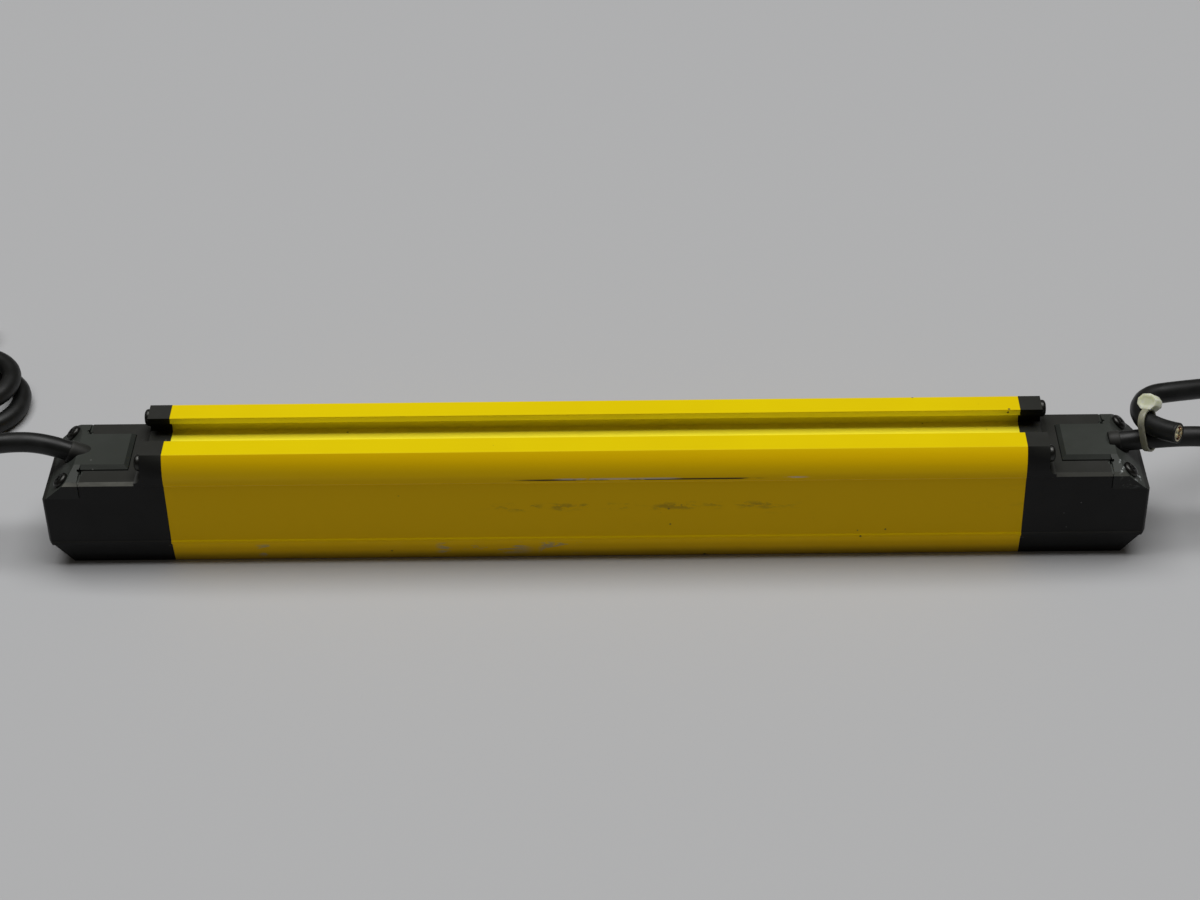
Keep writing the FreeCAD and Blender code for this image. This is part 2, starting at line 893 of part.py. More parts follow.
def hank_form():
    """Closed outer form of the hank: two round lobes joined by a narrow waist."""
    lobe = hank_lobe_width / 2
    waist = hank_waist_width / 2
    middle_x = (hank_right_end + hank_left_end) / 2
    right_centre = V(hank_right_end - lobe, hank_middle_y, 0)
    left_centre = V(hank_left_end + lobe, hank_middle_y, 0)
    lobes = [Part.makeCylinder(lobe, hank_lobe_height, c) for c in (right_centre, left_centre)]
    corners = [
        V(right_centre.x, hank_middle_y - lobe, 0),
        V(middle_x + hank_tie_width, hank_middle_y - waist, 0),
        V(middle_x - hank_tie_width, hank_middle_y - waist, 0),
        V(left_centre.x, hank_middle_y - lobe, 0),
        V(left_centre.x, hank_middle_y + lobe, 0),
        V(middle_x - hank_tie_width, hank_middle_y + waist, 0),
        V(middle_x + hank_tie_width, hank_middle_y + waist, 0),
        V(right_centre.x, hank_middle_y + lobe, 0),
    ]
    neck = prism(corners, V(0, 0, hank_height))
    return joined(lobes + [neck])


def hank_tie():
    """Nylon tie round the hank's waist, with its head on top."""
    middle_x = (hank_right_end + hank_left_end) / 2
    inner = hank_waist_width / 2 + hank_tie_fit
    outer = inner + hank_tie_thickness
    roof = hank_height + hank_tie_fit
    x0 = middle_x - hank_tie_width / 2
    x1 = middle_x + hank_tie_width / 2
    strap = box(x0, x1, hank_middle_y - outer, hank_middle_y + outer, 0, roof + hank_tie_thickness)
    hole = box(x0 - past, x1 + past, hank_middle_y - inner, hank_middle_y + inner, -past, roof)
    low = V(middle_x - hank_tie_head_length / 2, hank_middle_y - hank_tie_head_width / 2, roof)
    head = Part.makeBox(hank_tie_head_length, hank_tie_head_width, hank_tie_head_height, low)
    return joined([strap.cut(hole), head])


def plug_axis():
    """Where the plug starts and the way it points, in line with the cable's last run."""
    last = V(*tail_route[-1])
    before = V(*tail_route[-2])
    return last, (last - before).normalize()


def plug_body():
    """Moulded body of the plug, tapered to the cable."""
    start, direction = plug_axis()
    neck_radius = cable_radius + plug_taper_wall
    taper = Part.makeCone(neck_radius, plug_diameter / 2, plug_taper_length, start, direction)
    barrel_start = start + direction * plug_taper_length
    barrel = rod(plug_diameter, plug_length - plug_taper_length, barrel_start, direction)
    spigot = rod(spigot_diameter, nut_length - spigot_setback, start + direction * plug_length, direction)
    return joined([taper, barrel, spigot])


def ring_places(count, radius, direction):
    """Places spread evenly round an axis, as offsets from it."""
    side = direction.cross(V(0, 0, 1)).normalize()
    up = side.cross(direction)
    angles = [math.tau * k / count for k in range(count)]
    return [(side * math.cos(angle) + up * math.sin(angle)) * radius for angle in angles]


def plug_nut():
    """Knurled coupling nut that turns on the plug's spigot."""
    start, direction = plug_axis()
    base = start + direction * (plug_length + nut_gap)
    nut = rod(nut_diameter, nut_length, base, direction)
    bore = rod(nut_bore_diameter, nut_length + 2 * past, base - direction * past, direction)
    groove_base = base + direction * (nut_length - nut_groove_length) / 2
    rim = (nut_diameter + nut_groove_diameter / 2) / 2
    grooves = [
        rod(nut_groove_diameter, nut_groove_length, groove_base + offset, direction)
        for offset in ring_places(nut_groove_count, rim, direction)
    ]
    return nut.cut([bore] + grooves)


def plug_pins():
    """Contact pins that stand in the plug's face."""
    start, direction = plug_axis()
    face = start + direction * (plug_length + nut_length - spigot_setback)
    return [
        rod(plug_pin_diameter, plug_pin_length, face + offset, direction)
        for offset in ring_places(plug_pin_count, plug_pin_circle / 2, direction)
    ]


def tie_frame():
    """Centres of the two cables in the tie's plane, its normal, and the ways along and across the loop."""
    cable = V(*tie_cable_centre)
    stub = V(*tie_stub_centre)
    normal = V(*tie_normal).normalize()
    along = (stub - cable).normalize()
    across = along.cross(normal).normalize()
    return cable, stub, normal, along, across


def tie_loop(radius, width):
    """Rounded block about the two cables, centred on the tie's plane."""
    cable, stub, normal, along, across = tie_frame()
    back = normal * (-width / 2)
    ends = [rod(2 * radius, width, centre + back, normal) for centre in (cable, stub)]
    reach = across * radius
    corners = [cable + reach + back, stub + reach + back, stub - reach + back, cable - reach + back]
    return joined(ends + [prism(corners, normal * width)])


def stub_tie():
    """Nylon tie that holds the folded stub on the cable, with its bevelled head above the stub."""
    cable, stub, normal, along, across = tie_frame()
    inner = tie_loop(tie_loop_radius, 2 * tie_width)
    strap = tie_loop(tie_loop_radius + tie_thickness, tie_width).cut(inner)
    angle = math.radians(tie_head_angle)
    outward = across * math.cos(angle) + along * math.sin(angle)
    tangent = outward.cross(normal)
    half_across = tie_head_width / 2
    cut = tie_head_bevel
    outline = [
        (-half_across + cut, 0),
        (half_across - cut, 0),
        (half_across, cut),
        (half_across, tie_head_height - cut),
        (half_across - cut, tie_head_height),
        (-half_across + cut, tie_head_height),
        (-half_across, tie_head_height - cut),
        (-half_across, cut),
    ]
    base = stub + outward * tie_loop_radius - tangent * (tie_head_length / 2)
    head = prism([base + normal * u + outward * w for u, w in outline], tangent * tie_head_length)
    head = head.cut(tie_loop(tie_loop_radius, 2 * tie_head_width))
    return joined([strap, head]).cut(sweep(right_route, cable_diameter + 2 * tie_clearance))


def cut_end():
    """End of the right cable's route and the direction in which it points."""
    last = V(*right_route[-1])
    before = V(*right_route[-2])
    return last, (last - before).normalize()


def cut_cores():
    """Cut ends of the cores that show at the stub's tip."""
    tip, direction = cut_end()
    return [
        rod(core_diameter, core_length, tip + offset, direction)
        for offset in ring_places(core_count, core_circle / 2, direction)
    ]


def save_both_ends(name, pieces):
    """Write a right-end sub-part and its twin of the left end."""
    save(name + "_right", *pieces)
    save(name + "_left", *[other_end(piece) for piece in pieces])


def main():
    """Build every sub-part and write it."""
    os.makedirs("parts", exist_ok=True)
    save("housing_extrusion", housing_extrusion())
    save("front_window", front_window())
    save("window_seals", *window_seals())
    save("lens_strip", lens_strip())
    save("aperture_holder", aperture_holder())
    save("light_pipes", *light_pipes())
    save("emitter_board", emitter_board())
    save("beam_diodes", *beam_diodes())
    save("board_spacers", *board_spacers())
    save("board_link", board_link())
    save("control_board", control_board())
    save("control_parts", *control_parts())
    save_both_ends("end_cap", [end_cap()])
    save_both_ends("cap_gasket", [gasket_frame()])
    save_both_ends("connector_seal", [connector_seal()])
    save_both_ends("contact_header", [contact_header()])
    save_both_ends("cap_screws", cap_screws())
    save_both_ends("connector_screws", connector_screws())
    save("connector_block_right", connector_block(gland_lean_right))
    save("connector_block_left", other_end(connector_block(gland_lean_left)))
    save("cable_gland_right", cable_gland(gland_lean_right))
    save("cable_gland_left", other_end(cable_gland(gland_lean_left)))
    hank = hank_form()
    save("cable_left", tube("cable_left", left_route, cable_diameter).cut(hank))
    save("cable_left_hank", hank)
    save("cable_left_hank_tie", hank_tie())
    save("cable_left_tail", tube("cable_left_tail", tail_route, cable_diameter).cut(hank))
    save("plug_body", plug_body())
    save("plug_nut", plug_nut())
    save("plug_pins", *plug_pins())
    save("cable_right", tube("cable_right", right_route, cable_diameter))
    save("cable_right_tie", stub_tie())
    save("cable_right_cores", *cut_cores())


main()
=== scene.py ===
"""Safety light curtain bar lying on its window, with its mounting slot up and a black cable at each end.

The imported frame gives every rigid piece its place. The classes below model or dress each sub-assembly,
main() builds them in order, and every length is in metres unless a name says otherwise.
"""

from __future__ import annotations

import functools
import json
import logging
import math
from dataclasses import dataclass
from enum import Enum
from typing import Callable, Sequence
import bmesh
import bpy
from mathutils import Matrix, Vector


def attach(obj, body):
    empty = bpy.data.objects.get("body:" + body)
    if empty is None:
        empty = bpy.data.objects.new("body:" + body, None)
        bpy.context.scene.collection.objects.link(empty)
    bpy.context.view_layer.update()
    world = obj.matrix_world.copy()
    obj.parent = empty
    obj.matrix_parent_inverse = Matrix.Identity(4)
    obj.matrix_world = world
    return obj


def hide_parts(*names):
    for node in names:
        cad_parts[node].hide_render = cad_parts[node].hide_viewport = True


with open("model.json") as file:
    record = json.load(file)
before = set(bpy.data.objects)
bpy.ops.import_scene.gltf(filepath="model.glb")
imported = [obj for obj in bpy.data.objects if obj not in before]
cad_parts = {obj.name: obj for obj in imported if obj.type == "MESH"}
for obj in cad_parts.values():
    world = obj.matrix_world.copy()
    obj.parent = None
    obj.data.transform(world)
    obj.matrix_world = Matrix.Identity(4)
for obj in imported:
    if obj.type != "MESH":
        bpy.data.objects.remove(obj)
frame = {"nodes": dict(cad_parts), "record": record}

LOG = logging.getLogger("light_curtain")
ROOT = "root"
MM = 0.001
Point = tuple[float, float, float]
Colour = tuple[float, float, float]
Rings = Sequence[tuple[float, float]]
Socket = bpy.types.NodeSocket
Piece = bpy.types.Object


class Slot(Enum):
    """Material slots of the record, one for each finish."""

    PAINT = "painted_housing"
    CAP = "cap_plastic"
    SCREW = "screw_steel"
    JACKET = "cable_rubber"
    WINDOW = "window_clear"
    LENS = "lens_clear"
    BOARD = "board_green"
    SEAL = "black_rubber"
    TIE = "tie_nylon"
    METAL = "contact_metal"
    HOLDER = "holder_black"
    CHIP = "chip_black"


class Side(Enum):
    """The two ends of the bar, with the sign of X at each."""

    LEFT = -1
    RIGHT = 1

    @property
    def word(self) -> str:
        """Name of the end as the node names spell it."""
        return self.name.lower()


# ---------------------------------------------------------------- material nodes


class Recipe:
    """Node tree of one material, with short calls for the nodes that the finishes share."""

    def __init__(self, name: str) -> None:
        """Start a material.

        Args:
            name: name of the material.
        """
        self.material = bpy.data.materials.new(name)
        self.material.use_nodes = True
        self.tree = self.material.node_tree
        self.shader = next(n for n in self.tree.nodes if n.type == "BSDF_PRINCIPLED")
        self.coords = self.tree.nodes.new("ShaderNodeTexCoord").outputs["Object"]

    def add(self, kind: str, inputs: dict[str, object] | None = None, **values: object) -> bpy.types.Node:
        """Add a node.

        Args:
            kind: Blender's name of the node type.
            inputs: what feeds its inputs, by their names.
            values: properties of the node, by name.

        Returns:
            The new node.
        """
        node = self.tree.nodes.new(kind)
        for key, value in values.items():
            setattr(node, key, value)
        for key, value in (inputs or {}).items():
            self.feed(node.inputs[key], value)
        return node

    def feed(self, socket: Socket, value: object) -> None:
        """Link a socket to another, or set it to a plain value.

        Args:
            socket: input to feed.
            value: output socket, number or colour.
        """
        if isinstance(value, Socket):
            self.tree.links.new(value, socket)
        elif isinstance(value, tuple) and len(value) == 3 and socket.type == "RGBA":
            socket.default_value = (*value, 1.0)
        else:
            socket.default_value = value

    def stretched(self, scale: Point, shift: Point = (0.0, 0.0, 0.0)) -> Socket:
        """Object coordinates scaled along each axis, and moved.

        Args:
            scale: factor along each axis.
            shift: place in scaled coordinates.

        Returns:
            The mapped vector.
        """
        inputs = {"Vector": self.coords, "Scale": scale, "Location": shift}
        return self.add("ShaderNodeMapping", inputs).outputs["Vector"]

    def noise(
        self, scale: float, detail: float = 3.0, rough: float = 0.5, vector: object = None, warp: float = 0.0
    ) -> Socket:
        """Cloudy pattern from 0 to 1.

        Args:
            scale: spots per metre.
            detail: layers of finer spots.
            rough: weight of the finer spots.
            vector: coordinates, or a stretch of the object's own along each axis.
            warp: how far the spots are pulled out of shape.

        Returns:
            The pattern's value.
        """
        vector = self.stretched(vector) if isinstance(vector, tuple) else vector or self.coords
        inputs = {"Vector": vector, "Scale": scale, "Detail": detail, "Roughness": rough, "Distortion": warp}
        return self.add("ShaderNodeTexNoise", inputs).outputs["Fac"]

    def cells(self, scale: float) -> Socket:
        """Distance to the nearest of many scattered points.

        Args:
            scale: points per metre.

        Returns:
            The distance, 0 at each point.
        """
        return self.add("ShaderNodeTexVoronoi", {"Vector": self.coords, "Scale": scale}).outputs["Distance"]

    def step(self, value: Socket, low: float, high: float) -> Socket:
        """Rise from 0 at low to 1 at high, or fall where low is the larger.

        Args:
            value: value to map.
            low: value that gives 0.
            high: value that gives 1.

        Returns:
            The mapped value, kept from 0 to 1.
        """
        inputs = {"Value": value, "From Min": low, "From Max": high}
        return self.add("ShaderNodeMapRange", inputs, interpolation_type="SMOOTHSTEP").outputs["Result"]

    def calc(self, kind: str, *operands: object) -> Socket:
        """Arithmetic on numbers or sockets.

        Args:
            kind: operation, such as MULTIPLY.
            operands: what it works on, in order.

        Returns:
            The result.
        """
        node = self.add("ShaderNodeMath", operation=kind)
        for socket, operand in zip(node.inputs, operands):
            self.feed(socket, operand)
        return node.outputs[0]

    def both(self, *masks: object) -> Socket:
        """Product of masks and numbers."""
        return functools.reduce(functools.partial(self.calc, "MULTIPLY"), masks)

    def either(self, *masks: Socket) -> Socket:
        """Largest of several masks."""
        return functools.reduce(functools.partial(self.calc, "MAXIMUM"), masks)

    def blend(self, share: object, first: object, second: object) -> Socket:
        """Mix of two colours.

        Args:
            share: share of the second colour, number or mask.
            first: colour or socket.
            second: colour or socket.

        Returns:
            The mixed colour.
        """
        node = self.add("ShaderNodeMix", data_type="RGBA")
        colour_inputs = [s for s in node.inputs if s.type == "RGBA"]
        factor = next(s for s in node.inputs if s.type == "VALUE")
        self.feed(factor, share)
        self.feed(colour_inputs[0], first)
        self.feed(colour_inputs[1], second)
        return next(s for s in node.outputs if s.type == "RGBA")

    def axis(self, name: str, vector: Socket | None = None) -> Socket:
        """One coordinate of a vector, by the letter of its axis."""
        return self.add("ShaderNodeSeparateXYZ", {"Vector": vector or self.coords}).outputs[name]

    def lean(self, name: str = "Z") -> Socket:
        """How far the surface faces along an axis, 1 where it looks straight along it."""
        return self.axis(name, self.coords.node.outputs["Normal"])

    def band(self, value: Socket, low: float, high: float, edge: float) -> Socket:
        """Mask of the values between two limits, with soft edges.

        Args:
            value: value to test.
            low: lower limit.
            high: upper limit.
            edge: width over which the mask fades.

        Returns:
            1 inside the band, 0 outside.
        """
        return self.both(self.step(value, low - edge, low + edge), self.step(value, high + edge, high - edge))

    def reaches(self, value: Socket, bands: Sequence[Point]) -> Socket:
        """Mask of several bands, with their limits and soft edges in millimetres."""
        return self.either(*(self.band(value, *mm(*limits)) for limits in bands))

    def bump(self, height: Socket, depth_mm: float, strength: float = 1.0) -> None:
        """Raise the surface by a pattern, on top of any relief given before.

        Args:
            height: pattern from 0 to 1.
            depth_mm: height of the relief.
            strength: share of the relief that shows.
        """
        node = self.add("ShaderNodeBump", {"Strength": strength, "Distance": depth_mm * MM, "Height": height})
        held = self.shader.inputs["Normal"]
        if held.is_linked:
            self.feed(node.inputs["Normal"], held.links[0].from_socket)
        self.feed(held, node.outputs["Normal"])

    def set(self, **inputs: object) -> None:
        """Feed the shader's own sockets, named with underscores for spaces."""
        for key, value in inputs.items():
            self.feed(self.shader.inputs[key.replace("_", " ")], value)


# ---------------------------------------------------------------- finishes


class Finish:
    """Finish of a surface. Each kind below has its name and mixes its own nodes."""

    name: str

    def make(self) -> bpy.types.Material:
        """Make the material.

        Returns:
            The finished material.
        """
        recipe = Recipe(self.name)
        self.mix(recipe)
        return recipe.material

    def mix(self, recipe: Recipe) -> None:
        """Give the material its nodes."""
        raise NotImplementedError


@dataclass(frozen=True)
class HousingPaint(Finish):
    """Yellow powder coat on the extruded profile, scuffed along its edges. Heights and reaches are in millimetres."""

    name: str = "yellow_powder_coat"
    colour: Colour = (0.82, 0.635, 0.001)
    deep_colour: Colour = (0.72, 0.50, 0.001)
    # painted shade: a more orange yellow on the side faces, standing in for their shade
    side_colour: Colour = (0.83, 0.51, 0.001)
    # painted light: a brighter yellow on the arcs above the crease and on the band below the ridge
    arc_colour: Colour = (0.95, 0.60, 0.001)
    # painted light: a paler, brighter yellow inside the mounting slot
    slot_colour: Colour = (1.0, 0.90, 0.045)
    gloss_tint: Colour = (1.0, 0.76, 0.15)
    # dark brown for real dirt in the smears, marks and specks, and for painted shade under the slot's far lip and
    # along the foot
    grime: Colour = (0.09, 0.075, 0.03)
    bare_metal: Colour = (0.62, 0.60, 0.56)
    primer: Colour = (0.02, 0.02, 0.018)
    chip_colour: Colour = (0.34, 0.33, 0.30)
    roughness: float = 0.36
    crease: float = 30.2
    ridge: float = 8.4
    near_face: float = -12.2
    scratch_reach: Point = (-20.5, 45.5, 5.0)
    mark_reach: Point = (-27.0, 55.0, 8.0)
    pale_reaches: Sequence[Point] = ((-10.0, 23.5, 3.0), (55.5, 60.5, 2.0))
    chip_reaches: Sequence[Point] = (
        (-37.0, -20.0, 3.0), (-16.0, -4.0, 1.5), (-99.0, -95.0, 1.5), (-46.0, -42.5, 1.5)
    )

    def mix(self, recipe: Recipe) -> None:
        """Give the material its nodes.

        Args:
            recipe: material in the making.
        """
        colour, damage = self.worn(recipe, self.coat(recipe))
        gloss = recipe.calc("MULTIPLY_ADD", recipe.noise(30.0, 4.0), 0.14, self.roughness - 0.07)
        recipe.set(
            Base_Color=colour,
            Roughness=recipe.either(gloss, recipe.both(damage, 0.5)),
            Specular_IOR_Level=0.22,
            Specular_Tint=self.gloss_tint,
        )
        recipe.bump(recipe.noise(1150.0, 2.0, 0.5), 0.010, 0.35)
        recipe.bump(recipe.both(damage, -1.0), 0.06, 0.6)

    def coat(self, recipe: Recipe) -> Socket:
        """Give the coat its tone on each face of the profile: top, arcs, sides, slot, ridge and foot, with painted
        light on the arcs, in the slot and on the ridge, and painted shade on the sides, under the slot's far lip and
        along the foot.

        Args:
            recipe: material in the making.

        Returns:
            Colour of the whole coat.
        """
        height = recipe.axis("Z")
        out = recipe.calc("ABSOLUTE", recipe.axis("Y"))
        cloud = recipe.step(recipe.noise(14.0, 4.0, 0.55), 0.35, 0.75)
        colour = recipe.blend(0.55, recipe.blend(cloud, self.colour, self.deep_colour), self.colour)
        flank = recipe.both(recipe.step(out, *mm(9.0, 12.0)), recipe.step(recipe.lean(), 0.95, 0.35))
        above = recipe.step(height, *mm(self.crease, self.crease + 2.0))
        inside = recipe.both(recipe.step(out, *mm(8.8, 8.5)), recipe.step(height, *mm(38.35, 38.15)))
        # painted shade: the slot's floor and wall under the far lip
        undercut_shade = recipe.both(inside, recipe.step(out, *mm(5.4, 5.9)), recipe.step(height, *mm(36.9, 36.5)))
        specks = recipe.both(
            recipe.step(recipe.cells(210.0), 0.10, 0.05),
            recipe.step(recipe.noise(38.0, 2.0), 0.56, 0.66),
        )
        for mask, tone in (
            # painted shade: the side faces take the orange shade tint
            (flank, self.side_colour),
            # painted light on the arcs above the crease
            (recipe.both(flank, above), self.arc_colour),
            # painted light inside the slot
            (recipe.both(inside, 0.85), self.slot_colour),
            # painted shade under the slot's far lip
            (recipe.both(undercut_shade, 0.28), self.grime),
            # painted light on the band of the lower bevel below the ridge
            (recipe.both(flank, recipe.band(height, *mm(5.6, self.ridge, 1.2))), self.arc_colour),
            # painted shadow: the side faces darken towards the floor, a contact shadow
            (recipe.both(flank, recipe.step(height, *mm(4.6, 0.6)), 0.5), self.grime),
            # dirt specks scattered over the coat
            (specks, self.grime),
        ):
            colour = recipe.blend(mask, colour, tone)
        return colour

    def worn(self, recipe: Recipe, colour: Socket) -> tuple[Socket, Socket]:
        """Smear, scratch and chip the coat on the near side.

        Args:
            recipe: material in the making.
            colour: colour of the whole coat.

        Returns:
            Colour with the wear, and the mask of the places where the coat is gone.
        """
        along, height = recipe.axis("X"), recipe.axis("Z")
        near = recipe.step(recipe.axis("Y"), *mm(self.near_face + 1.0, self.near_face - 1.0))
        smear = recipe.both(
            recipe.step(recipe.noise(60.0, 6.0, 0.7, (0.25, 1.0, 1.0)), 0.58, 0.72),
            recipe.band(height, *mm(14.0, 27.0, 4.0)),
        )
        scratch = recipe.both(
            recipe.band(height, *mm(self.crease - 0.3, self.crease + 0.2, 0.15)),
            recipe.reaches(along, [self.scratch_reach]),
            recipe.step(recipe.noise(85.0, 5.0, 0.65, (0.35, 1.0, 1.0)), 0.36, 0.44),
            near,
        )
        bright = recipe.both(
            recipe.band(height, *mm(self.crease - 0.05, self.crease + 0.45, 0.15)),
            recipe.reaches(along, self.pale_reaches),
            recipe.step(recipe.noise(190.0, 3.0), 0.36, 0.46),
            near,
        )
        marks = recipe.both(
            recipe.band(height, *mm(18.9, 21.3, 0.9)),
            recipe.reaches(along, [self.mark_reach]),
            recipe.step(recipe.noise(360.0, 5.0, 0.7, (0.5, 1.0, 1.6)), 0.51, 0.61),
            recipe.step(recipe.noise(75.0, 2.0), 0.38, 0.52),
        )
        chip_shape = recipe.noise(210.0, 4.0, 0.6, recipe.stretched((0.4, 1.0, 1.4), (3.1, 0.0, 0.0)), 1.5)
        chips = recipe.both(
            recipe.band(height, *mm(1.6, self.ridge - 2.0, 0.8)),
            recipe.reaches(along, self.chip_reaches),
            recipe.step(chip_shape, 0.535, 0.58),
            near,
        )
        for mask, tone in (
            (recipe.both(smear, near, 0.16), self.grime),
            (scratch, self.primer),
            (recipe.both(bright, 0.7), self.bare_metal),
            (recipe.both(marks, near, 0.42), self.grime),
            (recipe.both(chips, 0.55), self.chip_colour),
        ):
            colour = recipe.blend(mask, colour, tone)
        return colour, recipe.either(bright, chips, scratch)


@dataclass(frozen=True)
class MouldedBlack(Finish):
    """Black glass-filled plastic with a fine moulded grain, lighter where it faces up, as dust and painted sheen."""

    name: str = "moulded_black"
    colour: Colour = (0.0045, 0.0045, 0.0044)
    # dust and painted sheen: the lighter tone of every face that looks up
    dusty_colour: Colour = (0.021, 0.0215, 0.0185)
    pale_colour: Colour = (0.032, 0.032, 0.030)
    roughness: float = 0.48
    grain_mm: float = 0.030
    nick_colour: Colour = (0.22, 0.22, 0.21)
    # rub wear and painted highlight on the plateaus' bevels
    rubbed_colour: Colour = (0.17, 0.17, 0.15)
    scraped_colour: Colour = (0.50, 0.53, 0.53)

    def mix(self, recipe: Recipe) -> None:
        """Give the material its nodes.

        Args:
            recipe: material in the making.
        """
        facing_up = recipe.step(recipe.lean(), 0.25, 0.95)
        dust = recipe.both(recipe.step(recipe.noise(55.0, 5.0, 0.6), 0.42, 0.80), facing_up, 0.8)
        nicks = recipe.both(
            recipe.step(recipe.cells(420.0), 0.13, 0.06),
            recipe.step(recipe.noise(70.0, 3.0), 0.57, 0.66),
            0.55,
        )
        # dust and painted sheen: upward faces take the lighter tone by their facing alone
        colour = recipe.blend(facing_up, self.colour, self.dusty_colour)
        colour = recipe.blend(dust, colour, self.pale_colour)
        colour = recipe.blend(nicks, colour, self.nick_colour)
        recipe.set(
            Base_Color=self.worn(recipe, colour),
            Roughness=recipe.calc("MULTIPLY_ADD", recipe.noise(120.0, 4.0), 0.22, self.roughness - 0.11),
            Specular_IOR_Level=0.20,
        )
        recipe.bump(recipe.noise(2600.0, 2.0, 0.55), self.grain_mm, 0.55)

    def worn(self, recipe: Recipe, colour: Socket) -> Socket:
        """Lighten the plateaus' bevels, most at the left end, as rub wear and a painted highlight, and scrape the
        right slope by its near screw.

        Args:
            recipe: material in the making.
            colour: colour before the wear.

        Returns:
            Colour with the wear.
        """
        along, across, height = (recipe.axis(name) for name in "XYZ")
        bevel = recipe.both(
            recipe.band(height, *mm(29.3, 30.6, 0.2)),
            recipe.band(recipe.lean(), 0.55, 0.85, 0.08),
            recipe.step(recipe.calc("ABSOLUTE", recipe.lean("Y")), 0.4, 0.55),
            recipe.step(recipe.calc("ABSOLUTE", across), *mm(11.4, 11.8)),
            recipe.step(recipe.noise(95.0, 4.0, 0.6, (0.4, 1.0, 1.0)), 0.20, 0.50),
        )
        share = recipe.calc("MULTIPLY_ADD", recipe.step(along, 0.0, -20.0 * MM), 0.6, 0.25)
        scraped = recipe.both(
            recipe.band(along, *mm(151.0, 157.5, 0.8)),
            recipe.band(across, *mm(-14.6, -8.6, 0.6)),
            recipe.step(height, *mm(24.5, 26.0)),
            recipe.step(recipe.noise(850.0, 3.0, 0.6, (1.0, 0.6, 1.0)), 0.57, 0.63),
            0.8,
        )
        # rub wear and painted highlight on the bevels that face up and out
        colour = recipe.blend(recipe.both(bevel, share), colour, self.rubbed_colour)
        return recipe.blend(scraped, colour, self.scraped_colour)


@dataclass(frozen=True)
class CableJacket(Finish):
    """Glossy black plastic jacket with faint handling marks."""

    name: str = "cable_jacket"
    colour: Colour = (0.0065, 0.0070, 0.0068)
    handled_colour: Colour = (0.03, 0.03, 0.03)
    coat_roughness: float = 0.40

    def mix(self, recipe: Recipe) -> None:
        """Give the material its nodes.

        Args:
            recipe: material in the making.
        """
        marks = recipe.both(recipe.step(recipe.noise(90.0, 5.0, 0.6), 0.45, 0.85), 0.5)
        recipe.set(
            Base_Color=recipe.blend(marks, self.colour, self.handled_colour),
            Roughness=recipe.step(recipe.noise(140.0, 3.0), -0.75, 2.0),
            Specular_IOR_Level=0.30,
            Coat_Weight=0.03,
            Coat_Roughness=self.coat_roughness,
        )
        recipe.bump(recipe.noise(420.0, 3.0, 0.5), 0.02, 0.5)


@dataclass(frozen=True)
class MetalFinish(Finish):
    """Metal with a fine turned or plated surface."""

    name: str
    colour: Colour
    roughness: float

    def mix(self, recipe: Recipe) -> None:
        """Give the material its nodes.

        Args:
            recipe: material in the making.
        """
        streaks = recipe.noise(900.0, 3.0, 0.6)
        dark = tuple(c * 0.7 for c in self.colour)
        recipe.set(
            Base_Color=recipe.blend(recipe.step(streaks, 0.3, 0.7), self.colour, dark),
            Roughness=recipe.calc("MULTIPLY_ADD", streaks, 0.2, self.roughness - 0.1),
            Metallic=1.0,
        )
        recipe.bump(streaks, 0.004, 0.5)


@dataclass(frozen=True)
class NylonFinish(Finish):
    """Milky natural nylon, slightly see-through and aged to yellow."""

    name: str = "natural_nylon"
    colour: Colour = (0.70, 0.73, 0.50)
    pale_colour: Colour = (0.84, 0.86, 0.72)

    def mix(self, recipe: Recipe) -> None:
        """Give the material its nodes.

        Args:
            recipe: material in the making.
        """
        tone = recipe.step(recipe.noise(260.0, 3.0), 0.3, 0.7)
        recipe.set(
            Base_Color=recipe.blend(tone, self.colour, self.pale_colour),
            Roughness=0.38,
            Subsurface_Weight=0.35,
            Subsurface_Radius=(1.0, 1.0, 0.6),
            Subsurface_Scale=2.0 * MM,
        )
        recipe.bump(recipe.noise(1500.0, 2.0), 0.01, 0.4)


@dataclass(frozen=True)
class ClearFinish(Finish):
    """Clear or tinted plastic that light passes through."""

    name: str
    colour: Colour
    roughness: float
    clearness: float = 1.0
    index: float = 1.49

    def mix(self, recipe: Recipe) -> None:
        """Give the material its nodes.

        Args:
            recipe: material in the making.
        """
        haze = recipe.calc("MULTIPLY_ADD", recipe.noise(60.0, 4.0), 0.06, self.roughness)
        recipe.set(Base_Color=self.colour, Roughness=haze, Transmission_Weight=self.clearness, IOR=self.index)


@dataclass(frozen=True)
class DullFinish(Finish):
    """Dull plastic, rubber or lacquer with a faint change of tone."""

    name: str
    colour: Colour
    other_colour: Colour
    roughness: float
    grain: float = 600.0

    def mix(self, recipe: Recipe) -> None:
        """Give the material its nodes.

        Args:
            recipe: material in the making.
        """
        tone = recipe.step(recipe.noise(self.grain * 0.2, 4.0), 0.35, 0.65)
        recipe.set(Base_Color=recipe.blend(tone, self.colour, self.other_colour), Roughness=self.roughness)
        recipe.bump(recipe.noise(self.grain, 3.0), 0.02, 0.4)


